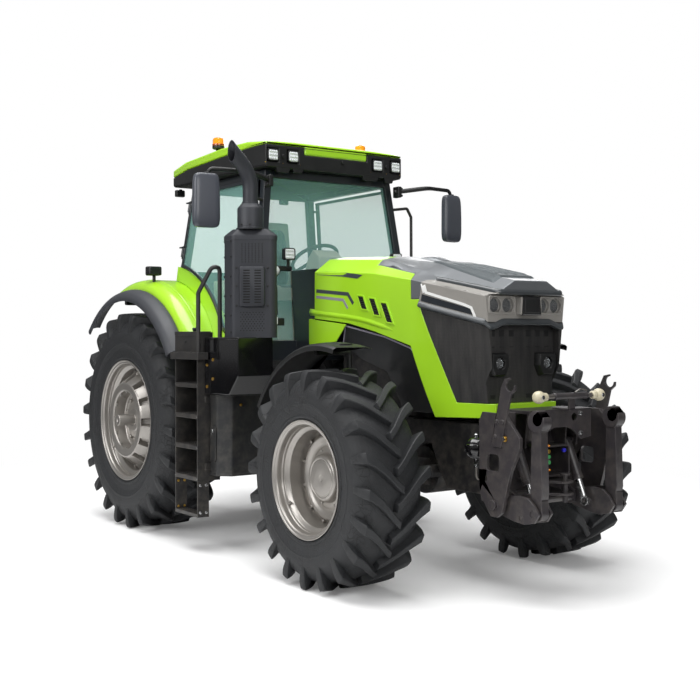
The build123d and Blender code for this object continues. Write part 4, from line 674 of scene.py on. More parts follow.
def buildTyre(end, hand):
    size = tyreSizes[end]
    bits = [turned(carcass(**size), (0, 0, 0), segments=size["lugs"] * 8, closed=True)] + tyreLugs(**size)
    bits = [moved(b, size["axle"][0], size["track"], size["axle"][1]) for b in bits]
    if hand == "right":
        bits = [mirrored(b) for b in bits]
    obj = piece(f"tyre_{end}_{hand}_tread", f"wheel_{end}_{hand}", [("tyreRubber", bits)],
                [f"tyre_{end}_{hand}"], angle=38)
    # the side wall weight that the rubber's cracks read: 1 on the wall, 0 on the tread
    co = np.empty(len(obj.data.vertices) * 3)
    obj.data.vertices.foreach_get("co", co)
    co = co.reshape(-1, 3) * 1000
    r = np.hypot(co[:, 0] - frontAxleX - size["axle"][0], co[:, 2] - size["axle"][1])
    wall = np.clip((size["radius"] - size["lugHeight"] + 14 - r) / 60, 0, 1)
    obj.data.attributes.new("sidewall", "FLOAT", "POINT").data.foreach_set("value", wall.astype(np.float32))


for end in ("front", "rear"):
    for hand in ("left", "right"):
        buildTyre(end, hand)
print("tyres done")


# rims: turned barrels, a pressed front disc and a cast rear drum
rimSections = {
    # (r, y) of the barrel's skin: outer lip round the tyre side and back along the side that shows
    "frontBarrel": [(381, 239), (378, 225), (356, 224), (349, 181), (352, 176), (347, 170), (319, 147),
                    (319, -89), (349, -181), (356, -225),
                    (381, -226), (381, -239), (371, -239), (346, -233), (339, -186), (309, -92), (309, 143),
                    (322, 154), (336, 163), (339, 172),
                    (339, 178), (344, 186), (347, 218), (353, 229), (368, 231), (372, 239)],
    "rearBarrel": [(508, 242), (505, 228), (483, 227), (476, 184), (479, 179), (474, 173), (442, 150),
                   (442, -92), (476, -184), (483, -228),
                   (508, -229), (508, -242), (498, -242), (473, -236), (466, -189), (432, -95), (432, 146),
                   (448, 157), (462, 166), (466, 175),
                   (466, 181), (471, 189), (474, 221), (480, 232), (495, 234), (499, 242)],
    "frontDisc": [(0, 88), (132, 86), (142, 40), (200, 24), (262, 36), (282, 16), (318, 0), (318, 18),
                  (304, 22), (288, 30), (278, 48), (262, 57),
                  (244, 52), (224, 40), (206, 38), (192, 46), (162, 50), (155, 58), (152, 88), (142, 101),
                  (128, 104), (125, 100), (119, 100),
                  (116, 104), (22, 104), (18, 101), (0, 101)],
    "rearFace": [(0, 104), (150, 96), (262, 104), (262, 206), (292, 208), (306, 232), (318, 234), (314, 239),
                 (304, 242), (290, 240), (262, 240),
                 (248, 236), (242, 228), (242, 134), (236, 126), (212, 122), (208, 118), (166, 118),
                 (158, 124), (152, 148), (98, 154), (92, 160),
                 (47, 161), (46, 302), (42, 306), (14, 306), (12, 298), (0, 298)],
}
wheelFixings = {
    # bolts in a ring: how many, ring radius, y of their seat, across flats, height
    "front": [(12, 299, 24, 24, 18), (8, 184, 46, 15, 10)],
    "rear": [(10, 188, 119, 28, 24), (12, 424, 84, 28, 18)],
}


def drumCone(pads=12, slotHalf=0.085, deep=64):
    # cone from the well to the face whose radius drops in slots: the depth is a smooth step of the angle
    a = np.linspace(0, 2 * np.pi, pads * 32, endpoint=False)[:, None]
    y = np.array([60, 74, 92, 104, 110, 116, 150, 190, 222, 228, 234, 239])[None]
    r = eased(y[0], [60, 74, 104, 234, 240], [442, 440, 410, 318, 306], 3)[None]
    away = np.abs((a + np.pi / pads) % (2 * np.pi / pads) - np.pi / pads)
    edge = np.clip((away - slotHalf * (1 - 0.25 * (y - 100) / 130)) / 0.024, 0, 1)
    inside = np.clip((y - 104) / 8, 0, 1) * np.clip((232 - y) / 6, 0, 1)
    r = r - deep * (1 - edge ** 2 * (3 - 2 * edge)) * inside
    outer = np.stack([r * np.cos(a), y + 0 * a, r * np.sin(a)], -1)
    inner = np.stack([(r - 34) * np.cos(a), y + 0 * a, (r - 34) * np.sin(a)], -1)
    return grid(np.concatenate([outer, inner[:, ::-1]], 1), wrapU=True, wrapV=True)


def buildRim(end, hand):
    axleX, axleZ = tyreSizes[end]["axle"]
    barrel = rounded(rimSections[end + "Barrel"], 5, 4, closed=True)
    face = rounded(rimSections["frontDisc" if end == "front" else "rearFace"], 5, 4)
    bits = [turned(barrel, (0, 0, 0), segments=128, closed=True), turned(face, (0, 0, 0), segments=96)]
    if end == "rear":
        bits.append(drumCone())
    nuts = []
    for count, ring, seat, across, height in wheelFixings[end]:
        a = 2 * np.pi * (np.arange(count) + 0.5) / count
        nuts.append(spread(bolt(across, height),
                           np.stack([ring * np.cos(a), np.full(count, seat), ring * np.sin(a)], -1),
                           (0, 1, 0)))
    bits += nuts
    # tyre valve on the barrel: boot, stem and cap lying along the wall
    a, r = math.radians(214), rimSections[end + "Barrel"][18][0] - 2
    root = np.array([r * math.cos(a), 166, r * math.sin(a)])
    inward = np.array([-math.cos(a), 0.55, -math.sin(a)])
    bits += [shaft(root, root + inward * 14, 12), shaft(root + inward * 12, root + inward * 34, 6)]
    bits = [moved(b, axleX, tyreSizes[end]["track"], axleZ) for b in bits]
    if hand == "right":
        bits = [mirrored(b) for b in bits]
    piece(f"rim_{end}_{hand}_pressed", f"wheel_{end}_{hand}", [("wheelSilver", bits)],
          [f"rim_{end}_{hand}"], angle=40)


for end in ("front", "rear"):
    for hand in ("left", "right"):
        buildRim(end, hand)
print("rims done")


# rear fenders and their flare mouldings: a closed section carried round the axle
fenderShape = dict(axleZ=905, body=1190, inner=596, outer=1020, wall=16, start=34, end=113, flareOuter=1150,
                   flareWall=14, flareEnd=134)


def buildFenders(axleZ, body, inner, outer, wall, start, end, flareOuter, flareWall, flareEnd):
    # section (r, y): flat crown, a soft fold at its outer third, a round shoulder and a turned-down lip
    crown = [(body, inner), (body + 1, inner + 150), (body + 1, outer - 150), (body - 3, outer - 92),
             (body - 16, outer - 50), (body - 42, outer - 18),
             (body - 70, outer - 3), (body - 90, outer)]
    crown = curveThrough(crown, 5)
    lower = crown[::-1] - np.array([wall, 0]) * np.clip((outer - 20 - crown[::-1, 1:]) / 60, 0,
                                                        1) - np.array([0, wall * 0.8]) * (crown[::-1,
                                                                1:] > outer - 60)
    skin = turned(np.vstack([crown, lower]), (rearAxleX, 0, axleZ), start, end - start, 60, closed=True)
    a = np.radians(np.linspace(start, end, 61))
    rim = np.column_stack([rearAxleX + (body - wall / 2) * np.cos(a), axleZ + (body - wall / 2) * np.sin(a)])
    cheek = plate(rim, inner, inner + 12, "y", 2)
    # a shallow pressed bead along the outer edge of the crown stiffens the sheet
    beadA = np.radians(np.linspace(start + 2, end - 2, 60))
    beadLine = np.stack([rearAxleX + (body - 1) * np.cos(beadA), np.full(60, outer - 132.0),
                         axleZ + (body - 1) * np.sin(beadA)], -1)
    piece("rear_fender_sheets", "chassis",
          [("limeEnamel", bothSides([skin, cheek, pipe(beadLine, 5, 8)]))], ["rear_fenders"], angle=30)
    lip = [(body - 86, outer + 1), (body - 84, outer + 26), (body - 92, outer + 62),
           (body - 110, outer + 100), (body - 136, flareOuter - 8),
           (body - 160, flareOuter), (body - 184, flareOuter - 1)]
    lip = curveThrough(lip, 4)
    under = lip[::-1] - np.array([flareWall, 0]) * np.clip((flareOuter - 12 - lip[::-1, 1:]) / 30, 0,
                                                           1) - np.array([0, flareWall]) * (lip[::-1,
                                                                   1:] > flareOuter - 30)
    flare = turned(np.vstack([lip, under]), (rearAxleX, 0, axleZ), start - 1, flareEnd - start + 1, 72,
                   closed=True)
    piece("fender_flare_mouldings", "chassis", [("flarePlastic", bothSides([flare]))],
          ["fender_flares"], bevel=1.5, angle=38)


buildFenders(**fenderShape)
print("fenders done")


# bonnet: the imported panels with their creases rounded, and what is fixed to them
bonnetShape = dict(
    x=[-925, -220, 180, 360, 868], shoulderZ=[2085, 2042, 1982, 1950, 1846], shoulderY=[432, 428, 424, 420,
            338],
    footY=[440, 438, 425, 352, 232], edgeZ=[2182, 2140, 2046, 1978, 1874], edgeY=[300, 300, 300, 300, 284],
    crownZ=[2214, 2180, 2120, 2094, 1984], footZ=1000)


def alongBonnet(column, x):
    # value of a column of the bonnet's table at x, straight between its sections
    return np.interp(x, bonnetShape["x"], bonnetShape[column])


def sideY(x, z, lift=0.0):
    # half width of the bonnet at x and z: a leaning side to the shoulder, then the bevel to the top edge
    shoulderZ, shoulderY, footY = alongBonnet("shoulderZ", x), alongBonnet("shoulderY",
            x), alongBonnet("footY", x)
    edgeZ, edgeY = alongBonnet("edgeZ", x), alongBonnet("edgeY", x)
    low = footY + (z - bonnetShape["footZ"]) / (shoulderZ - bonnetShape["footZ"]) * (shoulderY - footY)
    high = shoulderY + (z - shoulderZ) / (edgeZ - shoulderZ) * (edgeY - shoulderY)
    return np.where(z < shoulderZ, low + lift, high + lift)


def topZ(x, y, lift=0.0):
    # height of the bonnet's top at x and y: flat out to the half-way fold, then straight down to the edge
    crown, edge, edgeY = alongBonnet("crownZ", x), alongBonnet("edgeZ", x), alongBonnet("edgeY", x)
    middle = 0.72 * crown + 0.28 * edge
    share = np.abs(y) / edgeY
    return np.where(share < 0.5, middle, middle + (edge - middle) * (share * 2 - 1)) + lift


def film(corners, lift, depth=3.0, rows=2, columns=24):
    # a thin raised patch on the bonnet's side between two edge lines of (x, z) points, lower then upper
    lower, upper = (np.asarray(line, float) for line in corners)
    u = np.linspace(0, 1, columns)
    at = lambda line: np.stack([np.interp(u, np.linspace(0, 1, len(line)), line[:, i]) for i in (0, 1)], -1)
    v = np.linspace(0, 1, rows + 1)[:, None, None]
    face = at(lower)[None] * (1 - v) + at(upper)[None] * v
    x, z = face[..., 0], face[..., 1]
    outer = np.stack([x, sideY(x, z, lift), z], -1)
    inner = np.stack([x, sideY(x, z, lift - depth), z], -1)
    ringOut = np.concatenate([outer[0], outer[1:, -1], outer[-1, -2::-1], outer[-2:0:-1, 0]])
    ringIn = np.concatenate([inner[0], inner[1:, -1], inner[-1, -2::-1], inner[-2:0:-1, 0]])
    return [grid(outer), grid(inner, flip=True), grid(np.stack([ringOut, ringIn]), wrapV=True)]


def stroke(line, width, lift, depth=3.0, columns=3):
    # a strip of constant width along an open (x, z) line on the bonnet's side, mitred at its corners
    p = np.asarray(line, float)
    d = np.diff(p, axis=0)
    d = d / np.linalg.norm(d, axis=1, keepdims=True)
    n = np.stack([-d[:, 1], d[:, 0]], 1)
    mean = np.vstack([n[:1], n[:-1] + n[1:], n[-1:]])
    mean = mean / np.maximum((mean ** 2).sum(1, keepdims=True),
                             1e-9) * np.concatenate([[1], np.full(len(n) - 1, 2), [1]])[:, None]
    bits = []
    for a in range(len(p) - 1):
        lower, upper = p[a:a + 2] - mean[a:a + 2] * width / 2, p[a:a + 2] + mean[a:a + 2] * width / 2
        bits += film((lower, upper), lift, depth, 1, max(columns, 2))
    return bits


softened("bonnet_panels", "bonnet", "limeEnamel", bevel=5, segments=3, angle=9)
softened("bonnet_top", "bonnet", "titaniumEnamel", bevel=7, segments=3, angle=9)
softened("headlamp_band", "bonnet", "warmGreyMoulding", bevel=5, segments=3, angle=16)
softened("grille", "bonnet", "grilleMesh", bevel=4, angle=20)

bonnetTrim = dict(
    # (x, z) outlines on the side: lower line, upper line
    wedge=([(-890, 2062), (-560, 2034), (-395, 2012)], [(-890, 2092), (-560, 2066), (-330, 2036)]),
    darkLine=[(-900, 1944), (-505, 1908), (-440, 1838)],
    mauveLine=[(-900, 1900), (-560, 1868), (-505, 1806)],
    # louvres: x of the upper rear corner, upper z, lower z
    louvres=[(-392, 1896, 1796), (-262, 1876, 1752), (-132, 1842, 1700)],
    crease=[(-985, 1790), (-420, 1735), (-150, 1686), (40, 1640)],
)


def buildBonnetTrim(wedge, darkLine, mauveLine, louvres, crease):
    films = film(wedge, 1.2, 4, 1, 12) + stroke(darkLine, 26, 1.2, 4, 8)
    piece("bonnet_dark_stripes", "bonnet", [("darkFilm", bothSides(films))], angle=30)
    piece("bonnet_mauve_stripes", "bonnet",
          [("mauveFilm", bothSides(stroke(mauveLine, 20, 1.2, 4, 8)))], angle=30)
    frames, louvreShade, slats = [], [], []
    for x, top, low in louvres:
        slant, wide = 0.52 * (top - low), 74
        ring = [(x, top), (x + wide, top - 8), (x + wide + slant, low - 8), (x + slant, low)]
        frames += stroke(ring + ring[:1], 11, 7, 11, 3)
        # the opening behind the slats is a near-black patch: painted shade of the recess, not a cut
        louvreShade += film(([ring[3], ring[2]], [ring[0], ring[1]]), 1.0, 4, 3, 3)
        for k in np.linspace(0.12, 0.88, 6):
            left = np.array([x + slant * k, top + (low - top) * k])
            slats += film(([left + (2, -3), left + (wide - 2, -11)], [left + (0, 3), left + (wide - 4, -5)]),
                          3.5, 4, 1, 3)
    piece("bonnet_louvre_frames", "bonnet", [("limeEnamel", bothSides(frames))], bevel=1.5,
          angle=40)
    piece("bonnet_louvres", "bonnet", [("paintedShadeBlack", bothSides(louvreShade)),
                                                     ("blackAbs", bothSides(slats))], angle=40)
    # pressed crease above the lower edge: a low half-round ridge that fades out at its front end
    line = curveThrough(crease, 12)
    across = np.linspace(-1, 1, 11)[None]
    fade = np.clip((line[-1, 0] - line[:, :1]) / 160, 0, 1)
    x, z = line[:, :1] + 0 * across, line[:, 1:] + 24 * across * (0.35 + 0.65 * fade)
    rise = 9 * fade * np.cos(across * np.pi / 2) ** 1.4 * (1 - 0.35 * across) - 1.5
    ridge = np.stack([x, sideY(x, z) + rise, z], -1)
    piece("bonnet_crease", "bonnet", [("limeEnamel", bothSides([grid(ridge)]))], wall=2,
          angle=60)


buildBonnetTrim(**bonnetTrim)

bandTrim = dict(lampY=(155, 262), lampZ=1799, face=822, lampRadius=43, plateHalf=90)


def lampUnit(radius):
    # reflector bowl, glass dome and bezel about the origin, facing +z
    a = np.linspace(0, 1, 7)
    bowl = np.column_stack([radius * np.sin(a * np.pi / 2) * 0.93, -14 * np.cos(a * np.pi / 2)])
    glass = np.column_stack([radius * np.sin(a * np.pi / 2), 9 * np.cos(a * np.pi / 2) - 3])
    bezel = np.array([(radius * 1.0, -8), (radius * 1.14, -8), (radius * 1.14, 2), (radius * 1.08, 5),
                      (radius * 1.0, 2)])
    fins = [block((-radius * 0.9, s * radius * 0.3 - 0.8, -12), (radius * 0.9, s * radius * 0.3 + 0.8, -2),
                  0.3) for s in (-1, 0, 1)]
    return upright(bowl, segments=32), upright(glass, segments=32), upright(bezel, segments=32,
            closed=True), fins


def buildBand(lampY, lampZ, face, lampRadius, plateHalf):
    bowl, glass, bezel, fins = lampUnit(lampRadius)
    places = [(face - 22, s * y, lampZ) for s in (1, -1) for y in lampY]
    bowls = [spread(b, places, (1, 0, 0)) for b in [bowl] + fins]
    piece("headlamp_reflectors", "bonnet", [("reflector", bowls)], angle=60)
    piece("headlamp_glasses", "bonnet", [("lampGlass", [spread(glass, places, (1, 0, 0))])],
          angle=60)
    piece("headlamp_bezels", "bonnet",
          [("warmGreyMoulding", [spread(bezel, places, (1, 0, 0))])], angle=40)
    # raised rim round each pair of lamps: a rounded rectangle carried as a fine roll
    rims = []
    for s in (1, -1):
        ring = rounded([(s * 100, lampZ - 50), (s * 318, lampZ - 50), (s * 318, lampZ + 56),
                        (s * 100, lampZ + 56)], 26, 6, closed=True)
        path = np.column_stack([np.full(len(ring), face + 1.0), ring])
        tube = pipe(np.vstack([path, path[:2]]), 7, 10, caps=False)
        rims.append(tube)
    piece("headlamp_pair_rims", "bonnet", [("warmGreyMoulding", rims)], angle=60)
    # bare black centre plate, a trapezoid with a bevelled rim
    outline = [(-plateHalf + 6, lampZ - 62), (plateHalf - 6, lampZ - 62), (plateHalf - 16, lampZ + 56),
               (-plateHalf + 16, lampZ + 56)]
    inner = [(-plateHalf + 26, lampZ - 46), (plateHalf - 26, lampZ - 46), (plateHalf - 32, lampZ + 42),
             (-plateHalf + 32, lampZ + 42)]
    piece("nose_centre_plate", "bonnet",
          [("glossBlack", [plate(outline, face + 44, face + 52, "x", 5)]),
           ("blackAbs", [plate(inner, face + 50, face + 55, "x", 2)])], angle=30)


buildBand(**bandTrim)
print("bonnet done")


def radiusAt(outline, angles):
    # distance from the origin to a convex outline along each angle: the nearest of its sides' lines
    p = np.asarray(outline, float)
    side = np.roll(p, -1, 0) - p
    normal = np.stack([side[:, 1], -side[:, 0]], 1)
    normal = normal * np.sign((normal * p).sum(1))[:, None]
    reach = (normal * p).sum(1)
    facing = np.cos(angles)[:, None] * normal[None, :, 0] + np.sin(angles)[:, None] * normal[None, :, 1]
    return (reach / np.where(facing > 1e-6, facing, 1e-6)).min(1)


def noseSweep(sidePath, frontX, frontZ, section, cornerY):
    # a (out, up) section carried along the right side, round the nose and back along the left side
    side = np.asarray(sidePath, float)
    y = np.linspace(cornerY - 30, -(cornerY - 30), 60)
    front = np.stack([np.full(60, frontX), y, frontZ(y)], -1)
    left = np.stack([side[:, 0], sideY(side[:, 0], side[:, 1]), side[:, 1]], -1)
    path = np.vstack([left, front, left[::-1] * np.array([1, -1, 1])])
    along = np.gradient(path, axis=0) * np.array([1, 1, 0])
    for _ in range(3):
        along = np.vstack([along[:1], (along[:-2] + 2 * along[1:-1] + along[2:]) / 4, along[-1:]])
    along = along / np.linalg.norm(along, axis=1, keepdims=True)
    out = np.stack([along[:, 1], -along[:, 0], 0 * along[:, 0]], -1)
    out = out * np.sign((out * path * np.array([1, 1, 0])).sum(1, keepdims=True))
    section = np.asarray(section, float)
    points = path[:, None] + out[:, None] * section[None, :, :1] + np.array([0, 0, 1.0]) * section[None, :,
            1:]
    return grid(points, wrapV=True, caps=True)


noseTrim = dict(
    # (x, z) lines on the side, and rounded (out, up) sections carried round the nose
    white=[(312, 1952), (330, 1893), (640, 1808), (704, 1784), (728, 1722)],
    insert=([(288, 1838), (716, 1738)], [(300, 1882), (690, 1781)]),
    lipSide=np.column_stack([np.linspace(352, 845, 26), np.interp(np.linspace(352, 845, 26), [340, 900],
            [1975, 1868])]),
    lipSection=[(-16, -10), (2, -12), (10, -6), (12, 6), (8, 16), (-2, 24), (-18, 24)],
    beakSide=np.column_stack([np.linspace(270, 800, 26), np.interp(np.linspace(270, 800, 26), [263, 900],
            [1824, 1676])]),
    beakSection=[(-14, -26), (4, -28), (15, -22), (18, -12), (12, 2), (2, 14), (-14, 16)],
    ribs=(-132, -44, 44, 132), panelX=(70, 770), panelHalf=(150, 222),
)


def buildNose(white, insert, lipSide, lipSection, beakSide, beakSection, ribs, panelX, panelHalf):
    strips = stroke(white[:2], 40, 2.5, 5, 4) + stroke(white[1:], 17, 3, 6, 8)
    piece("band_white_trim", "bonnet", [("whiteEnamel", bothSides(strips))], angle=40)
    piece("band_smoke_insert", "bonnet",
          [("smokeAcrylic", bothSides(film(insert, 1.5, 4, 2, 20)))], angle=30)
    lip = noseSweep(lipSide, 866, lambda y: 1874 + 0 * y, lipSection, 290)
    piece("bonnet_top_lip", "bonnet", [("lipEnamel", [lip])], bevel=1.5, angle=40)
    inward = lambda y: np.clip((300 - np.abs(y)) / 110, 0, 1)
    beak = noseSweep(beakSide, 824, lambda y: 1672 + 30 * inward(y) ** 2 * (3 - 2 * inward(y)), beakSection,
                     338)
    piece("grille_beak", "bonnet", [("lipEnamel", [beak])], bevel=1.5, angle=40)
    # raised centre panel of the top: it rises over its first and last stretch, its ribs swell forwards
    u, v = np.meshgrid(np.linspace(0, 1, 90), np.linspace(-1, 1, 121), indexing="ij")
    x = panelX[0] + (panelX[1] - panelX[0]) * u
    half = panelHalf[0] + (panelHalf[1] - panelHalf[0]) * u ** 0.7
    y = v * half
    rim = np.clip(np.minimum(np.minimum(u * 9, (1 - u) * 14), (1 - np.abs(v)) * 9), 0, 1)
    rise = 15 * rim ** 2 * (3 - 2 * rim)
    near = np.min(np.abs(y[..., None] - np.array(ribs) * (0.75 + 0.25 * u[..., None])), -1)
    rib = np.clip(1.6 - near / 9, 0, 1) * np.clip((u - 0.18) * 5, 0, 1) * np.clip((0.93 - u) * 12, 0, 1)
    z = topZ(x, y, 0) + rise - 4 + 9 * rib ** 2 * (3 - 2 * rib)
    piece("bonnet_top_panel", "bonnet", [("topMesh", [grid(np.stack([x, y, z], -1))])], wall=3,
          angle=60)
    # rounded hump over the catch behind the panel
    a, b = np.meshgrid(np.linspace(0, np.pi, 21), np.linspace(-1, 1, 25), indexing="ij")
    hump = np.stack([-30 + 120 * b, 74 * np.cos(a) * (1 - 0.25 * b), topZ(-30 + 120 * b, 0 * a, -14) + 40
                     * np.sin(a) ** 0.8 * np.clip(1 - b ** 2, 0, 1) ** 0.5], -1)
    piece("bonnet_top_hump", "bonnet", [("titaniumEnamel", [grid(hump)])], wall=3, angle=60)
    # faint pressed rectangles along the top and foot of the mesh
    marks = []
    for y in (-236, -158, -74, 74, 158, 236):
        marks += [plate([(y - 20, z), (y + 20, z), (y + 20, z + h), (y - 20, z + h)], 763, 765.5, "x", 0.8)
                  for z, h in ((1604, 40), (1214, 26))]
        marks += [plate([(y - 17, z), (y + 17, z), (y + 17, z + 5), (y - 17, z + 5)], 763, 766.5, "x", 0.8)
                  for z in (1536,)]
    for x in (400, 485, 570, 650):
        top = np.interp(x, [263, 900], [1824, 1676])
        marks += film(([(x, top - 96), (x + 40, top - 102)], [(x - 8, top - 44), (x + 40, top - 52)]), 1.8, 3,
                      1, 3)
        marks += film(([(x + 150, 1212), (x + 186, 1212)], [(x + 146, 1226), (x + 182, 1226)]), 1.8, 3, 1,
                      3) if x < 560 else []
    piece("grille_pressings", "bonnet", [("blackAbs", marks)], angle=40)


buildNose(**noseTrim)

fogShape = dict(y=207, z=1436, low=764, high=810, outline=[(-78, 66), (78, 66), (84, -16), (54, -84),
                                                           (-50, -84), (-84, -16)], lens=35)


def buildFogLamps(y, z, low, high, outline, lens):
    a = np.linspace(0, 2 * np.pi, 72, endpoint=False) + 0.02
    shape = radiusAt(outline, a)
    levels = [(1.0, 0, low - 8), (1.0, 0, low), (0.99, 0, low + 10), (0.9, 0, high - 8), (0.84, 0, high),
              (0.8, 0, high + 1), (0.1, 0.9, high - 1),
              (0, 1.08, high - 5), (0, 1.04, high - 26), (0, 0.5, high - 34)]
    rings = np.stack([np.stack([np.full(72, float(x)), (k * shape + c * lens) * np.cos(a),
                                (k * shape + c * lens) * np.sin(a)], -1) for k, c, x in levels])
    housing = moved(grid(rings, wrapV=True, caps=True), 0, y, z)
    cup = np.array([(lens * 0.98, -6), (lens * 0.9, -16), (lens * 0.6, -26), (0.5, -30)])
    glass = np.array([(lens * 0.99, -5), (lens * 0.9, 1), (lens * 0.6, 6), (0.5, 8)])
    places = [(high - 12, s * y, z) for s in (1, -1)]
    cups = [spread(upright(cup, segments=32), places, (1, 0, 0))]
    black = [housing, mirrored(housing)]
    for s in (1, -1):
        black += [shaft((774, s * h, 1799), (798, s * h, 1799), 47) for h in bandTrim["lampY"]]
    piece("lamp_housings", "bonnet", [("blackAbs", black)], ["front_lamps"], bevel=1.2,
          angle=30)
    piece("fog_lamp_bowls", "bonnet", [("reflector", cups)], angle=60)
    piece("fog_lamp_glasses", "bonnet",
          [("lampGlass", [spread(upright(glass, segments=32), places, (1, 0, 0))])], angle=60)


buildFogLamps(**fogShape)

shieldLine = [(-620, 1556), (-545, 1690), (-116, 1612), (150, 1535), (251, 1345), (330, 1100)]
softened("side_shields", "chassis", "shieldPlastic", bevel=3, angle=25)


def buildShieldEdge(line):
    path = rounded(line, 16, 5)
    inner = [np.column_stack([path[:, 0] - 3, 397 - 0.23 * (1620 - path[:, 1]) + 6, path[:, 1] - 8])]
    piece("shield_edges", "chassis",
          [("mauveFilm", bothSides([pipe(p, 6, 10) for p in inner]))], angle=60)


buildShieldEdge(shieldLine)
print("nose done")


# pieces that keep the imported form: edges rounded as a casting, a pressing or a moulding has them
keptForms = [
    # node, body, slot, finish, edge radius, smooth angle
    ("cab_frame", "chassis", "dark_grey_paint", "pillarEnamel", 5, 25),
    ("cab_roof", "chassis", "body_green", "limeEnamel", 14, 9),
    ("roof_base", "chassis", "black_plastic", "blackAbs", 10, 14),
    ("cab_lower_panels", "chassis", "body_green", "limeEnamel", 3, 25),
    ("door_frame_left", "door_left", "dark_grey_paint", "pillarEnamel", 4, 25),
    ("door_frame_right", "door_right", "dark_grey_paint", "pillarEnamel", 4, 25),
    ("front_frame", "chassis", "chassis_grey", "castEnamel", 6, 25),
    ("gearbox_housing", "chassis", "chassis_grey", "castEnamel", 8, 25),
    ("engine_block", "chassis", "chassis_grey", "castEnamel", 8, 25),
    ("front_axle", "chassis", "chassis_grey", "castEnamel", 6, 25),
    ("rear_axle", "chassis", "chassis_grey", "castEnamel", 6, 25),
    ("knuckle_left", "steering_left", "chassis_grey", "castEnamel", 5, 25),
    ("knuckle_right", "steering_right", "chassis_grey", "castEnamel", 5, 25),
    ("front_fender_left", "steering_left", "black_plastic", "blackAbs", 4, 25),
    ("front_fender_right", "steering_right", "black_plastic", "blackAbs", 4, 25),
    ("side_tanks", "chassis", "black_plastic", "tankPolyethylene", 12, 20),
    ("side_boxes", "chassis", "black_plastic", "glossBlack", 6, 25),
    ("ladders", "chassis", "chassis_grey", "ladderEnamel", 2, 25),
    ("hitch_frame", "chassis", "chassis_grey", "hitchEnamel", 2.5, 28),
    ("front_lift_arms", "front_lift", "chassis_grey", "hitchEnamel", 3, 28),
    ("front_link_left", "front_link_left", "chassis_grey", "hitchEnamel", 5, 28),
    ("front_link_right", "front_link_right", "chassis_grey", "hitchEnamel", 5, 28),
    ("front_cylinders", "front_barrels", "chassis_grey", "hitchEnamel", 2, 28),
    ("rear_lift_arms", "rear_rocker", "chassis_grey", "hitchEnamel", 4, 28),
    ("rear_lift_rods", "rear_lift_rods", "chassis_grey", "hitchEnamel", 3, 28),
    ("rear_lower_links", "rear_lower_links", "chassis_grey", "hitchEnamel", 4, 28),
    ("drawbar", "chassis", "chassis_grey", "wornSteel", 3, 28),
    ("rear_top_link", "chassis", "chassis_grey", "hitchEnamel", 3, 28),
    ("dash_column", "chassis", "dark_grey_paint", "beigeMoulding", 10, 25),
]
for node, body, slot, look, edge, fold in keptForms:
    softened(node, body, look, edge, fold)
print("kept forms rounded")


# exhaust: guard with its punched panel, shroud and the bent tail pipe
exhaustShape = dict(x=-980, y=-950, low=1600, top=2350, shroud=95, bore=56, mouthY=-1106,
                    plan=[(-1120, -1095), (-985, -1095), (-840, -860), (-840, -805), (-1120, -805)])


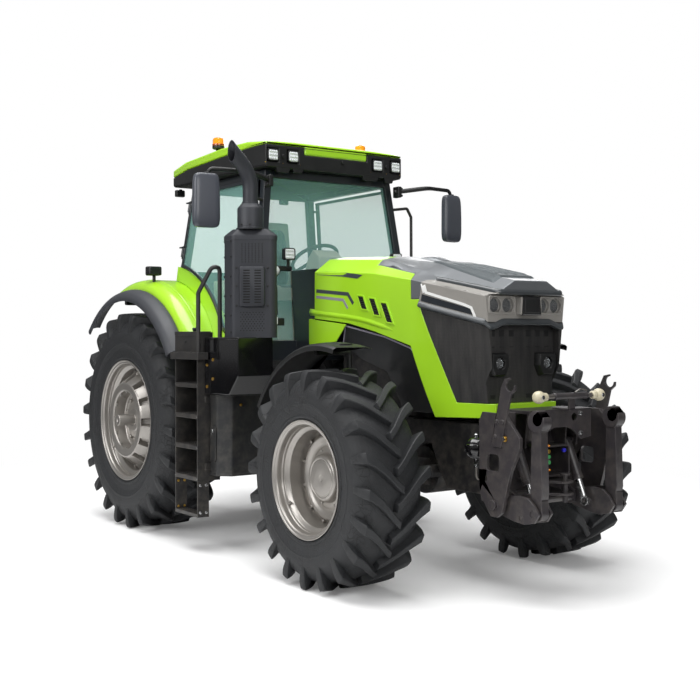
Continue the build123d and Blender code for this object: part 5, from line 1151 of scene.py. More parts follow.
def buildExhaust(x, y, low, top, shroud, bore, mouthY, plan):
    outline = rounded(plan, 24, 5, closed=True)
    centre = np.array([x, y])
    around = lambda share, z, lift=0: np.column_stack([centre + (outline - centre) * share + 0 * lift,
                                                       np.full(len(outline), float(z))])
    levels = [around(1, low), around(1, top - 52), around(1.02, top - 50), around(1.02, top - 20),
              around(0.98, top - 12), around(0.74, top + 24), around(0.70, top + 30), around(0.6, top + 31)]
    guard = grid(np.stack(levels), wrapV=True, caps=True)
    can = upright([(64, top + 26), (100, top + 26), (104, top + 32), (104, top + 38), (shroud, top + 40),
                   (shroud, top + 176), (shroud - 3, top + 184), (bore + 14, top + 210),
                   (bore + 3, top + 214),
                  (bore + 2, top + 226), (bore - 4, top + 226), (bore - 4, top + 40)], (x, y), 64,
                  closed=True)
    bend = rounded([(x, y, top + 200), (x, y, 2776), (x, y - 240, 3016)], 120, 14)
    bend = np.vstack([np.linspace(bend[0], bend[1], 6)[:-1], bend[1:-1], np.linspace(bend[-2], bend[-1],
            14)[1:]])
    outer, inner = pipe(bend, bore, 40, caps=False)[0].reshape(-1, 40, 3), pipe(bend, bore - 4, 40,
            caps=False)[0].reshape(-1, 40, 3)
    # the mouth is cut square to y: points past the cut slide back along the pipe's last straight
    for wall in (outer, inner):
        over = np.clip(mouthY - wall[..., 1], 0, None)
        wall[..., 1] += over
        wall[..., 2] -= over
    tail = grid(np.concatenate([outer, inner[::-1]]), wrapV=True, wrapU=True)
    piece("exhaust_body", "chassis", [("heatPaint", [guard, can, tail])], ["exhaust"],
          bevel=1.2, angle=32)
    # frame of the slanted panel: across runs along it, out is square to it
    a, b = np.array(plan[1], float), np.array(plan[2], float)
    across = (b - a) / np.linalg.norm(b - a)
    out = np.array([across[1], -across[0]])
    middle = (a + b) / 2
    at = lambda s, z, lift: np.array([*(middle + across * s + out * lift), z])
    direction = np.array([*out, 0.0])
    # the punched holes are near-black discs on the panel: painted shade standing in for the openings
    dot = shaft((0, 0, -1), (0, 0, 1.2), 4.2, 8, 0.4)
    rows, columns = np.meshgrid(np.arange(9), np.arange(7), indexing="ij")
    upper = [at(-72 + 24 * c, 2270 - 16 * r, 0) for r, c in zip(rows.ravel(), columns.ravel())]
    rows, columns = np.meshgrid(np.arange(9), np.arange(8), indexing="ij")
    lower = [at(-82 + 22 * c + 11 * (r % 2), 1780 - 16 * r, 0) for r, c in zip(rows.ravel(), columns.ravel())]
    piece("exhaust_perforation_shade", "chassis",
          [("paintedShadeBlack", [spread(dot, upper + lower, direction)])], angle=60)
    # raised cover with two ladders of slots
    cover = rounded([(-92, 1820), (92, 1820), (92, 2110), (-92, 2110)], 22, 5, closed=True)
    rings = []
    for share, lift in ((1.0, -4), (1.0, 14), (0.94, 24), (0.90, 26)):
        s, z = cover[:, 0] * share, 1965 + (cover[:, 1] - 1965) * (1 - (1 - share) * 0.62)
        rings.append(np.stack([at(si, zi, lift) for si, zi in zip(s, z)]))
    piece("exhaust_cover", "chassis",
          [("heatPaint", [grid(np.stack(rings), wrapV=True, caps=True)])], bevel=1.5, angle=35)
    # the slots are thin near-black shapes on the cover: painted shade standing in for the openings
    slots = []
    for k in range(13):
        for s in (-40, 40):
            z = 1852 + 19 * k
            ring = rounded([(s - 24, z - 4), (s + 24, z - 4), (s + 24, z + 4), (s - 24, z + 4)], 4, 3,
                           closed=True)
            slots.append(grid(np.stack([np.stack([at(i, j, lift) for i, j in ring]) for lift in (24, 27.2)]),
                              wrapV=True, caps=True))
    piece("exhaust_slot_shade", "chassis", [("paintedShadeBlack", slots)], angle=60)
    screws = [at(s, z, 2) for s in (-112, 112) for z in (1830, 1970, 2100)]
    sideScrews = [(px, -1096, z) for px in (-1100, -1010) for z in (1640, 1760, 1900, 2040, 2180, 2290)]
    piece("exhaust_screws", "chassis",
          [("blackAbs", [spread(bolt(13, 6), screws, direction), spread(bolt(12, 5), sideScrews, (0, -1, 0)),
                         spread(bolt(12, 6), [(x + 30, y - shroud + 2, top + 60), (x + 80, y - 52, top + 60)],
                                (0.4, -1, 0))])], angle=30)


buildExhaust(**exhaustShape)
print("exhaust done")


# lamps, beacons, mirrors and what hangs from the roof
def power(value, exponent):
    # a power that keeps the sign: below one it swells a sine towards a square wave
    return np.sign(value) * np.abs(value) ** exponent


def squareLamp(width, height, deep=34):
    # housing, lens and a field of small domes about the origin, facing +z
    outline = rounded([(-width / 2, -height / 2), (width / 2, -height / 2), (width / 2, height / 2),
                       (-width / 2, height / 2)], 0.2 * height, 5, closed=True)
    ring = lambda share, z: np.column_stack([outline * share, np.full(len(outline), float(z))])
    housing = grid(np.stack([ring(0.82, -deep), ring(0.97, -deep + 10), ring(1, -6), ring(1, 3),
                             ring(0.97, 6), ring(0.86, 6), ring(0.83, 2), ring(0.83, -2)]), wrapV=True,
                             caps=True)
    lens = grid(np.stack([ring(0.84, -3), ring(0.83, 2.5), ring(0.8, 4), ring(0.4, 4.4)]), wrapV=True,
                caps=True)
    a = np.linspace(0, np.pi / 2, 4)
    dome = upright(np.column_stack([9.5 * np.cos(a), 5 * np.sin(a)]), segments=12)
    across, up = np.meshgrid(np.linspace(-0.29, 0.29, 4) * width, np.linspace(-0.29, 0.29, 3) * height)
    domes = spread(dome, np.column_stack([across.ravel(), up.ravel(), np.full(12, 4.0)]), (0, 0, 1))
    return [housing], [lens], [domes]


lampPlaces = [
    # centre, direction, width, height of each square lamp on the left; all are mirrored
    ((-1246, 407, 2990), (1, 0, 0), 100, 92), ((-1246, 590, 2990), (1, 0, 0), 100, 92),
    ((-2898, 545, 2876), (-1, 0, 0), 88, 60), ((-2628, 940, 2163), (-1, 0, 0), 122, 78),
]


def buildSquareLamps(places):
    black, white, domes = [], [], []
    for centre, direction, width, height in places:
        deep = 70 if direction[0] < 0 and width > 100 else 34
        h, w, d = ([spread(b, [centre], direction) for b in part] for part in squareLamp(width, height, deep))
        black, white, domes = black + h, white + w, domes + d
    black.append(shaft((-2591, 940, 2070), (-2591, 940, 2128), 14))
    black.append(block((-2880, 532, 2890), (-2866, 558, 2912)))
    piece("work_lamp_housings", "chassis", [("blackAbs", bothSides(black))], ["work_lamps"],
          bevel=1, angle=35)
    piece("work_lamp_lenses", "chassis", [("ledLens", bothSides(white))], angle=50)
    piece("work_lamp_domes", "chassis", [("clearLens", bothSides(domes))], angle=60)


buildSquareLamps(lampPlaces)


beaconShape = dict(places=((-2086, -600), (-1746, 600)))


def buildBeacons(places):
    base, dome, band = [], [], []
    for at in places:
        base.append(upright([(0, 3096), (20, 3096), (19, 3140), (24, 3146), (45, 3152), (50, 3158),
                             (50, 3174), (46, 3178), (0, 3178)], at))
        dome.append(upright([(0, 3176), (46, 3177), (49, 3182), (49, 3192), (47, 3196), (46, 3226),
                             (42, 3237), (32, 3243), (0, 3244)], at))
        band.append(upright([(46, 3180), (50.5, 3181), (50.5, 3190), (46, 3191)], at))
    piece("beacon_bases", "chassis", [("blackAbs", base)], ["beacons"], angle=35)
    piece("beacon_domes", "chassis", [("amberLens", dome)], angle=35)
    piece("beacon_bands", "chassis", [("redLens", band)], angle=35)


buildBeacons(**beaconShape)

mirrorShape = dict(place=(-1233, 1176, 2602), size=(88, 206, 398), yaw=8)


def buildMirrors(place, size, yaw):
    # soft box: each axis of an ellipsoid raised to a power below one, flatter on the driver's side
    a, b = np.meshgrid(np.linspace(-np.pi / 2, np.pi / 2, 41), np.linspace(0, 2 * np.pi, 72, endpoint=False),
                       indexing="ij")
    z = power(np.sin(a), 0.30)
    ring = power(np.cos(a), 0.30)
    x, y = ring * power(np.cos(b), 0.62), ring * power(np.sin(b), 0.30)
    x = np.where(x < 0, x * 0.72, x * (1 - 0.18 * z ** 2))
    points = np.stack([x * size[0] / 2, y * size[1] / 2 * (1 - 0.03 * z), z * size[2] / 2], -1)
    c, s = math.cos(math.radians(yaw)), math.sin(math.radians(yaw))
    turn = lambda p: np.stack([c * p[..., 0] - s * p[..., 1], s * p[..., 0] + c * p[..., 1], p[..., 2]],
                              -1) + np.array(place, float)
    shell = grid(turn(points), wrapV=True)
    outline = rounded([(-82, -176), (82, -176), (82, 176), (-82, 176)], 26, 5, closed=True)
    pane = plate(outline, -size[0] * 0.37, -size[0] * 0.345, "x", 1)
    pane = (turn(pane[0]), pane[1])
    top = place[2] + size[2] / 2 + 36
    path = rounded([(-1269, 596, 2790), (-1150, 850, top - 8), (place[0] + 6, place[1] - 20, top),
                    (place[0] + 6, place[1], place[2] + 150)], [1, 60, 44, 1], 8)
    arm = [pipe(path, np.linspace(19, 13, len(path)), 16), shaft((place[0] + 6, place[1], place[2] + 150),
            (place[0] + 6, place[1], place[2] + 205), 20)]
    arm += [block((-1300, 600, 2745), (-1222, 640, 2835), 6)]
    rib = [shaft((-1236, 640, z), (-1236, 652, z), 9) for z in (2762, 2818)]
    piece("mirror_shells", "chassis", [("mirrorShell", bothSides([shell]))], ["mirrors"],
          angle=60)
    piece("mirror_arms", "chassis", [("blackAbs", bothSides(arm + rib))], bevel=1.5,
          angle=40)
    piece("mirror_glasses", "chassis", [("reflector", bothSides([pane]))], angle=40)


buildMirrors(**mirrorShape)


signalShape = dict(x=-1159, z=2120, tailX=-3274, tailZ=1941)


def buildSignals(x, z, tailX, tailZ):
    # oval turn signal in a cone housing, amber outside and clear inside; square lamp above; tail lamp
    a = np.linspace(0, 2 * np.pi, 48, endpoint=False)
    oval = lambda k, at: np.stack([np.full(48, float(at)), 662 + 66 * k * np.cos(a),
                                   z - 19 + 50 * k * np.sin(a)], -1)
    cone = grid(np.stack([oval(0.3, x - 62), oval(0.46, x - 52), oval(0.86, x + 2), oval(0.98, x + 12),
                          oval(1.0, x + 18), oval(0.95, x + 19)]), wrapV=True, caps=True)
    u, v = np.meshgrid(np.linspace(0, np.pi / 2, 9), np.linspace(-np.pi / 2, np.pi / 2, 25), indexing="ij")
    half = lambda side: grid(np.stack([x + 16 + 22 * np.sin(u), 662 + side * (1 + 60 * np.cos(u) * np.cos(v)),
                                       z - 19 + 45 * np.cos(u) * np.sin(v)], -1), flip=side > 0)
    arm = [block((x - 175, 640, z - 20), (x - 30, 676, z + 20), 6),
           block((x - 40, 474, z - 18), (x - 4, 640, z + 20), 6), block((x - 8, 503, z), (x + 8, 527, z + 80),
                   4)]
    lamp = squareLamp(98, 92, 46)
    place = [(x + 22, 514, z + 110)]
    tail = [block((tailX + 2, 702, tailZ - 50), (tailX + 28, 898, tailZ + 48), 8),
            block((tailX - 20, 704, tailZ - 48), (tailX + 4, 896, tailZ + 46), 10)]
    piece("signal_lamp_bodies", "chassis",
          [("blackAbs", bothSides([cone] + arm + tail + [spread(b, place, (1, 0, 0)) for b in lamp[0]]))],
          ["signal_lamps"], bevel=1.5, angle=35)
    piece("signal_amber_lenses", "chassis",
          [("amberLens", bothSides([half(1), block((tailX - 29, 840, tailZ - 40),
                                                   (tailX - 19, 888, tailZ + 38), 4)]))], wall=1.5, angle=60)
    piece("signal_clear_lenses", "chassis", [("clearLens", bothSides([half(-1)]))], wall=1.5,
          angle=60)
    piece("signal_square_lenses", "chassis",
          [("ledLens", bothSides([spread(b, place, (1, 0, 0)) for b in lamp[1] + lamp[2]]))], angle=60)
    piece("tail_red_lenses", "chassis",
          [("redLens", bothSides([block((tailX - 29, 712, tailZ - 40), (tailX - 19, 836, tailZ + 38), 4)]))],
          bevel=1, angle=40)
    # loose lead with its plug, on the exhaust's side only
    lead = curveThrough([(x - 10, -640, z - 60), (x - 4, -628, z - 150), (x - 12, -622, z - 260),
                         (x + 4, -628, z - 350)], 8)
    piece("signal_lead", "chassis",
          [("hoseRubber", [pipe(lead, 7, 10), pipe(lead + np.array([6, 10, 0]), 5, 10)]),
           ("whiteEnamel", [block((x - 12, -650, z - 420), (x + 18, -616, z - 366), 4)]),
           ("blackAbs", [block((x - 16, -618, z - 430), (x + 22, -560, z - 372), 5)])], angle=40)


buildSignals(**signalShape)


roofTrim = dict(front=-1250, low=2907)


def buildRoofTrim(front, low):
    # four lumps of the blind's carrier hang under the housing, whose face has screws and rollers
    lumps = []
    for left, right, deep in ((-566, -424, 48), (-418, -300, 40), (250, 430, 44), (470, 585, 50)):
        outline = rounded([(left, low + 8), (left + 22, low - deep), (right - 22, low - deep),
                           (right, low + 8)], 10, 4, closed=True)
        lumps.append(plate(outline, front - 26, front - 2, "x", 4))
    screws = [(front - 4, y, z) for y in (-655, -500, -340, 340, 500, 640) for z in (2931,)]
    rollers = [shaft((front + 0.5, y, 2985), (front + 12, y, 2985), 15) for y in (-498, 60, 498)]
    strip = [block((front - 8, -310, 3060), (front + 1, 310, 3066), 2)]
    piece("roof_blind_lumps", "chassis", [("blackAbs", lumps + rollers + strip)], bevel=2,
          angle=35)
    piece("roof_screws", "chassis",
          [("yellowZinc", [spread(bolt(10, 4, False), screws, (1, 0, 0))])], angle=35)


buildRoofTrim(**roofTrim)
print("lamps and mirrors done")


# steps, boxes and tanks: what is bolted to them
sideShape = dict(ladderY=1160, ladderX=(-1765, -1400), treads=(570, 800, 1030, 1260), boxY=1105, tankY=1060,
                 tankFront=-1210, top=1492)


def buildSideDetails(ladderY, ladderX, treads, boxY, tankY, tankFront, top):
    x0, x1 = ladderX
    stud = shaft((0, 0, -1), (0, 0, 3.5), 5, 6, 1.2)
    across, deep = np.meshgrid(np.linspace(x0 + 34, x1 - 34, 11), np.linspace(ladderY - 160, ladderY - 22, 5))
    studs = [np.column_stack([across.ravel(), deep.ravel(), np.full(55, float(z))]) for z in treads]
    lower = np.meshgrid(np.linspace(x0 + 34, x1 - 34, 11), np.linspace(ladderY - 80, ladderY - 18, 3))
    studs.append(np.column_stack([lower[0].ravel(), lower[1].ravel(), np.full(33, 296.0)]))
    piece("tread_studs", "chassis",
          [("ladderEnamel", bothSides([spread(stud, np.vstack(studs), (0, 0, 1))]))], angle=50)
    bright = [(x1 + 0.5, y, z) for y in (ladderY - 22, ladderY - 72) for z in (306, 508)]
    dull = [(x0 + 12.5, y, z) for y in (ladderY - 22, ladderY - 72) for z in (312, 508)]
    ends = [(x, ladderY + 0.5, z - 14) for z in treads for x in (x0 + 6, x1 - 6)]
    piece("step_bolts_bright", "chassis",
          [("brightSteel", bothSides([spread(bolt(19, 8), bright, (1, 0, 0)), spread(bolt(9, 3, False), ends,
                  (0, 1, 0))]))], angle=30)
    zinc = [spread(bolt(19, 8), [(-1262, boxY + 0.5, 1440), (-1262, boxY + 0.5, 1300),
                                 (-1352, boxY + 0.5, 1400), (-1352, boxY + 0.5, 1240)], (0, 1, 0)),
            spread(bolt(19, 8), [(tankFront + 0.5, 900, 1105), (tankFront + 0.5, 720, 1105)], (1, 0, 0)),
            spread(bolt(17, 8), dull, (1, 0, 0))]
    piece("side_bolts_zinc", "chassis", [("yellowZinc", bothSides(zinc))], angle=30)
    # service hatch with its hinge roll, lip and latch, and lips round the tank's top and foot
    hatch = plate(rounded([(-1386, 690), (-1300, 690), (-1300, 946), (-1386, 946)], 8, 4, closed=True),
                  tankY - 1, tankY + 4, "y", 1.5)
    lip = [block((-1386, tankY + 1, 684), (-1300, tankY + 9, 692), 2), shaft((-1297, tankY + 3, 700),
            (-1297, tankY + 3, 936), 4)]
    around = [(x0 - 4, 650), (tankFront + 5, 650), (tankFront + 5, 980), (tankFront - 82, tankY + 5),
              (-1392, tankY + 5), (-1392, 972), (x0 - 4, 972)]
    topLip, bandLow = plate(around, 1170, 1184, "z", 3), plate(around, 582, 600, "z", 3)
    piece("tank_lips", "chassis",
          [("tankPolyethylene", bothSides([hatch, topLip, bandLow] + lip))], bevel=1.5, angle=35)
    latch = [shaft((-1343, tankY + 3, 912), (-1343, tankY + 12, 912), 12), block((-1348, tankY + 9, 884),
            (-1338, tankY + 15, 916), 3)]
    piece("tank_latches", "chassis", [("brightSteel", bothSides(latch))], bevel=1, angle=35)
    # on the upper step: knobs, cover screw, pressed rim of the box lid and a toothed edge on the platform
    knobs = [upright([(0, 1640), (10, 1640), (10, 1652), (17, 1656), (17, 1672), (12, 1676), (0, 1676)],
                     (x, ladderY - 24), 16) for x in (-1490, -1432)]
    knobs += [shaft((-1585, ladderY, 1570), (-1585, ladderY + 6, 1570), 10)]
    teeth = [block((x, ladderY + 30, top - 2), (x + 9, ladderY + 39, top + 5), 1.5)
             for x in np.arange(x0 + 130, -1430, 20.0)]
    rim = [block((x0 + 2, ladderY - 118, 1640), (-1406, ladderY + 4, 1648), 2),
           block((x0 + 2, ladderY + 1, 1618), (-1406, ladderY + 5, 1648), 1.5)]
    piece("upper_step_trim", "chassis", [("ladderEnamel", bothSides(teeth + rim)),
                                                         ("blackAbs", bothSides(knobs))], bevel=0.8, angle=35)
    # lid of the black box, its seam, and the straps between stile and tank
    lid = plate(rounded([(-1388, boxY - 280), (-897, boxY - 280), (-897, boxY + 3), (-1388, boxY + 3)], 10, 4,
                        closed=True), 1586, 1604, "z", 4)
    seam = [block((-1180, boxY, 1200), (-1174, boxY + 3, 1584), 1)]
    straps = [block((x1 - 6, ladderY - 196, z), (x1 + 8, ladderY - 60, z + 46), 3) for z in (620, 1120)]
    piece("side_box_trim", "chassis", [("glossBlack", bothSides([lid] + seam)),
                                                        ("ladderEnamel", bothSides(straps))], bevel=1,
                                                        angle=35)


buildSideDetails(**sideShape)
print("sides done")


# front linkage: top link, accumulator, bolts and caps
topLinkShape = dict(link=(1196, 1246), ballY=(-275, 240), ball=38)


def aboutY(profile, x, z, segments=40):
    return turned(profile, (x, 0, z), segments=segments)


def buildTopLink(link, ballY, ball):
    # tube with its collars, threaded ends as a zigzag radius, and cast ball ends with a bored middle
    x, z = link
    tube = aboutY([(0, -152), (17, -152), (22, -147), (22, -128), (20, -126), (20, 106), (22, 108), (22, 127),
                   (17, 132), (0, 132)], x, z)
    turns = np.arange(-236, 206, 3.0)
    thread = aboutY(np.column_stack([13.4 + 0.6 * np.cos(np.pi * np.arange(len(turns))), turns]), x, z, 28)
    balls, bores = [], []
    for y, side in zip(ballY, (-1, 1)):
        a = np.linspace(-0.42 * np.pi, 0.42 * np.pi, 21)
        balls.append(aboutY(np.vstack([[(0, y - ball * 0.95)],
                                       np.column_stack([ball * np.cos(a) ** 0.8,
                                                        y + ball * np.sin(a) * 0.98]),
                                                        [(0, y + ball * 0.95)]]), x, z))
        neck = y - side * 44
        balls.append(aboutY([(0, neck - 20), (20, neck - 20), (25, neck - 14), (25, neck + 14),
                             (20, neck + 20), (0, neck + 20)], x, z))
        bores.append(shaft((x + ball - 8, y, z), (x + ball + 1, y, z), 13, 28))
    bracket = [block((x - 7, -27, 1161), (x + 7, 27, z - 4), 3), block((1062, -27, 1161), (x + 7, 27, 1171),
            2)]
    lever = [pipe(rounded([(x + 10, 20, z + 20), (x + 18, 64, z + 44), (x + 14, 118, z + 30)], [1, 20, 1], 6),
                  5, 12)]
    piece("top_link_tube", "chassis", [("hitchEnamel", [tube] + bracket)], ["front_top_link"],
          bevel=0, angle=35)
    piece("top_link_threads", "chassis", [("wornSteel", [thread])], angle=60)
    piece("top_link_balls", "chassis", [("creamEnamel", balls)], angle=50)
    piece("top_link_bores", "chassis", [("brightSteel", bores), ("wornSteel", lever)],
          angle=40)


buildTopLink(**topLinkShape)

accumulatorShape = dict(jar=(749, -360, 917))


def buildAccumulator(jar):
    x, y, z = jar
    a = np.linspace(-0.44 * np.pi, 0.44 * np.pi, 25)
    ball = upright(np.vstack([[(0, z - 70)], np.column_stack([72 * np.cos(a) ** 0.9, z + 70 * np.sin(a)]),
                              [(0, z + 70)]]), (x, y), 56)
    belt = upright([(66, z - 28), (74, z - 25), (75.5, z - 20), (75.5, z + 20), (74, z + 25), (66, z + 28)],
                   (x, y), 56)
    neck = upright([(0, z + 62), (16, z + 62), (16, z + 84), (13, z + 88), (13, z + 94), (0, z + 95)], (x, y),
                   24)
    nut = spread(bolt(30, 22, False), [(x, y, z - 96)], (0, 0, 1))
    foot = upright([(0, z - 118), (17, z - 118), (17, z - 100), (13, z - 96), (13, z - 62), (0, z - 62)],
                   (x, y), 24)
    tube = pipe(rounded([(x, y, z - 116), (x, y, z - 190), (x, -262, z - 190)], [1, 30, 1], 8), 11, 18)
    piece("accumulator_sphere", "chassis", [("glossBlack", [ball, belt])], ["accumulator"],
          angle=50)
    piece("accumulator_fittings", "chassis", [("brightSteel", [neck, nut, foot]),
                                                              ("wornSteel", [tube])], angle=35)


buildAccumulator(**accumulatorShape)

fixingShape = dict(plateY=422.5)


def buildLinkageFixings(plateY):
    # zinc bolts on the horns' feet, and the column of dust caps on the couplers at the middle
    heads = [(x, plateY, z) for x, z in ((1012, 1100), (1062, 1100), (1000, 1010), (1064, 1000))]
    zinc = [spread(bolt(30, 14), heads, (0, 1, 0))]
    faces = [(1110.5, y, z) for y in (-168, 168) for z in (1010, 1130)]
    piece("linkage_bolts", "chassis", [("yellowZinc", bothSides(zinc)),
                                                       ("brightSteel", [spread(bolt(24, 11), faces,
                                                               (1, 0, 0))])], angle=30)
    cap = lambda r, deep: turned([(0, 0), (r, 0), (r, deep - 3), (r - 3, deep), (0, deep)], (0, 0, 0),
                                 segments=24)
    forward = lambda bit, at: (bit[0][:, [1, 0, 2]] * np.array([1.0, 1, -1]) + np.array(at, float), bit[1])
    caps = {"amberLens": [(940, -64, 7), (792, -60, 7)], "yellowZinc": [(905, -64, 13)],
            "greenPlastic": [(872, -64, 13), (838, -64, 13)], "bluePlastic": [(905, 70, 13)]}
    bits = [(name, [forward(cap(r, 16), (1060, y, z)) for z, y, r in spots]) for name, spots in caps.items()]
    piece("coupler_caps", "chassis", bits, angle=35)


buildLinkageFixings(**fixingShape)

for node, body, slot, look, edge, fold in [
    ("handrails", "chassis", "chassis_grey", "ladderEnamel", 0, 40),
    ("front_cylinder_rods", "front_rods", "bright_steel", "brightSteel", 1, 35),
    ("steering_wheel", "chassis", "black_plastic", "blackAbs", 0, 40),
]:
    softened(node, body, look, edge, fold)
print("linkage trim done")


# seat: foam pads over the moulded shell
seatShape = dict(
    # middle, half size and lean in degrees of each pad, in millimetres
    pads={"seat_cushion": ((-2016, 0, 1978), (212, 188, 38), 0), "seat_back": ((-2272, 0, 2290),
            (34, 196, 268), -7)},
    voxel=10, pressure=4.0, cap=22, frames=20)


def swell(obj, voxel, pressure, cap, frames):
    # even quads, then a few frames of air pressure with no gravity; no point may travel further than the cap
    scene = bpy.context.scene
    grain = obj.modifiers.new("even", "REMESH")
    grain.mode, grain.voxel_size = "VOXEL", voxel / 1000
    bpy.context.view_layer.update()
    even = bpy.data.meshes.new_from_object(obj.evaluated_get(bpy.context.evaluated_depsgraph_get()))
    obj.modifiers.clear()
    obj.data = even
    start = np.empty(len(even.vertices) * 3)
    even.vertices.foreach_get("co", start)
    cloth = obj.modifiers.new("air", "CLOTH")
    cloth.settings.use_pressure, cloth.settings.uniform_pressure_force = True, pressure
    cloth.settings.effector_weights.gravity = 0
    cloth.point_cache.frame_start, cloth.point_cache.frame_end = 1, frames
    for frameNumber in range(1, frames + 1):
        scene.frame_set(frameNumber)
    blown = bpy.data.meshes.new_from_object(obj.evaluated_get(bpy.context.evaluated_depsgraph_get()))
    end = np.empty(len(blown.vertices) * 3)
    blown.vertices.foreach_get("co", end)
    step = (end - start).reshape(-1, 3)
    length = np.linalg.norm(step, axis=1, keepdims=True)
    obj.modifiers.clear()
    even.vertices.foreach_set("co",
                              (start.reshape(-1, 3) + step * np.minimum(1, cap / 1000 / np.maximum(length,
                                      1e-9))).ravel())
    even.update()
    bpy.data.meshes.remove(blown)
    scene.frame_set(1)
    fine = obj.modifiers.new("finer", "SUBSURF")
    fine.levels = fine.render_levels = 1


def buildSeat(pads, voxel, pressure, cap, frames):
    softened("seat", "chassis", "beigeMoulding", 6, 25)
    for name, (middle, half, lean) in pads.items():
        # soft box: an ellipsoid whose axes are raised to a power well below one
        a, b = np.meshgrid(np.linspace(-np.pi / 2, np.pi / 2, 31), np.linspace(0, 2 * np.pi, 64,
                endpoint=False), indexing="ij")
        p = np.stack([power(np.cos(a), 0.35) * power(np.cos(b), 0.28) * half[0],
                      power(np.cos(a), 0.35) * power(np.sin(b), 0.28) * half[1],
                      power(np.sin(a), 0.35) * half[2]], -1)
        c, s = math.cos(math.radians(lean)), math.sin(math.radians(lean))
        p = np.stack([c * p[..., 0] + s * p[..., 2], p[..., 1], c * p[..., 2] - s * p[..., 0]],
                     -1) + np.array(middle, float)
        pad = piece(name, "chassis", [("seatCloth", [grid(p, wrapV=True)])], angle=80)
        swell(pad, voxel, pressure, cap, frames)


buildSeat(**seatShape)
print("seat done")


# camera, light and floor
cameraView = dict(place=(5765, -4944, 1616), yaw=55.83, pitch=0.879, roll=-0.20, focal=55.9440,
                  shift=(0.045714, -0.044857))


def makeCamera(place, yaw, pitch, roll, focal, shift):
    # focal length in mm on a 36 mm wide sensor, shift as a share of its width;
    # looks along (-sin yaw cos pitch, cos yaw cos pitch, sin pitch), rolled about that line
    yaw, pitch, roll = (math.radians(v) for v in (yaw, pitch, roll))
    ahead = np.array([-math.sin(yaw) * math.cos(pitch), math.cos(yaw) * math.cos(pitch), math.sin(pitch)])
    level = np.array([math.cos(yaw), math.sin(yaw), 0])
    above = np.cross(level, ahead)
    right = math.cos(roll) * level + math.sin(roll) * above
    up = -math.sin(roll) * level + math.cos(roll) * above
    lens = bpy.data.cameras.new("camera")
    camera = bpy.data.objects.new("camera", lens)
    bpy.context.scene.collection.objects.link(camera)
    turn = Matrix([[right[i], up[i], -ahead[i]] for i in range(3)]).to_4x4()
    camera.matrix_world = Matrix.Translation(Vector(((place[0] + frontAxleX) / 1000, place[1] / 1000,
                                                     place[2] / 1000))) @ turn
    lens.sensor_width = 36
    lens.lens = focal
    lens.shift_x, lens.shift_y = shift
    lens.clip_end = 200
    bpy.context.scene.camera = camera


def makeWorld(light):
    # plain white for what the camera and glass see, and a softer white for the light it gives
    world = bpy.data.worlds.new("studio")
    world.use_nodes = True
    tree = world.node_tree
    back = tree.nodes["Background"]
    path = addNode(tree, "ShaderNodeLightPath").outputs
    seen = addNode(tree, "ShaderNodeMath", {0: path["Is Camera Ray"], 1: path["Is Transmission Ray"]},
                   operation="MAXIMUM")
    strength = addNode(tree, "ShaderNodeMapRange", {"Value": seen.outputs[0], "To Min": light, "To Max": 1.0})
    tree.links.new(strength.outputs[0], back.inputs["Strength"])
    back.inputs["Color"].default_value = (1, 1, 1, 1)
    bpy.context.scene.world = world


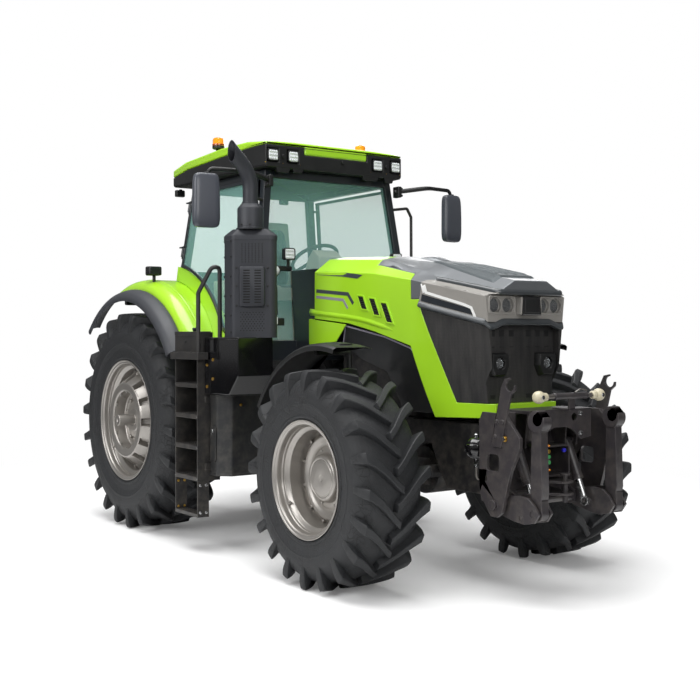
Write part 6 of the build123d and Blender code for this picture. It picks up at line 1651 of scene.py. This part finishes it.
def makeFloor(lift, near, clear):
    # white studio floor: keeps the shadow near the tractor, glows plain white from clear metres outwards
    mesh = bpy.data.meshes.new("floor")
    a = np.linspace(0, 2 * np.pi, 64, endpoint=False)
    disc = np.stack([60 * np.cos(a), 60 * np.sin(a), np.zeros(64)], -1)
    mesh.from_pydata(disc.tolist(), [], [list(range(64))])
    material, tree, shader, where = newMaterial("studioFloor")
    shader.inputs["Roughness"].default_value = 1.0
    shader.inputs["Specular IOR Level"].default_value = 0.0
    path = addNode(tree, "ShaderNodeLightPath").outputs
    seen = addNode(tree, "ShaderNodeMath", {0: path["Is Camera Ray"], 1: path["Is Transmission Ray"]},
                   operation="MAXIMUM")
    away = addNode(tree, "ShaderNodeVectorMath", {0: where}, operation="LENGTH")
    far = addNode(tree, "ShaderNodeMapRange", {"Value": away.outputs["Value"], "From Min": near,
                                               "From Max": clear, "To Min": lift, "To Max": 1.0},
                                               interpolation_type="SMOOTHSTEP")
    bare = addNode(tree, "ShaderNodeMapRange", {"Value": away.outputs["Value"], "From Min": near,
                                                "From Max": clear, "To Min": 1.0, "To Max": 0.0},
                                                interpolation_type="SMOOTHSTEP")
    tint = addNode(tree, "ShaderNodeMix", {0: bare.outputs[0], 6: (0, 0, 0, 1), 7: linear("#f4f4f4")},
                   data_type="RGBA")
    tree.links.new(tint.outputs[2], shader.inputs["Base Color"])
    glow = addNode(tree, "ShaderNodeMath", {0: seen.outputs[0], 1: far.outputs[0]}, operation="MULTIPLY")
    shader.inputs["Emission Color"].default_value = (1, 1, 1, 1)
    tree.links.new(glow.outputs[0], shader.inputs["Emission Strength"])
    mesh.materials.append(material)
    floor = bpy.data.objects.new("floor", mesh)
    bpy.context.scene.collection.objects.link(floor)


def makeLamp(name, place, target, size, power):
    light = bpy.data.lights.new(name, "AREA")
    light.shape, light.size, light.size_y, light.energy = "RECTANGLE", size[0], size[1], power
    lamp = bpy.data.objects.new(name, light)
    bpy.context.scene.collection.objects.link(lamp)
    lamp.location = place
    lamp.rotation_euler = (Vector(target) - Vector(place)).to_track_quat("-Z", "Y").to_euler()


studio = dict(worldLight=0.22, floor=(0.10, 3.6, 6.5), lamps=[
    # name, place, target, size in metres, watts
    ("topSoftbox", (0.5, -1.5, 9.0), (0, 0, 0), (9, 7), 1050),
    ("frontSoftbox", (9.5, -3.0, 4.5), (0, 0, 1.4), (5, 4), 260),
    ("sideSoftbox", (1.0, -10.0, 5.5), (0, 0, 1.3), (7, 4), 520),
    ("backSoftbox", (-7.0, 6.5, 6.0), (0, 0, 1.5), (5, 4), 260),
])
makeCamera(**cameraView)
makeWorld(studio["worldLight"])
makeFloor(*studio["floor"])
for lamp in studio["lamps"]:
    makeLamp(*lamp)
bpy.context.scene.view_settings.view_transform = "Standard"
print("camera, light and floor set")
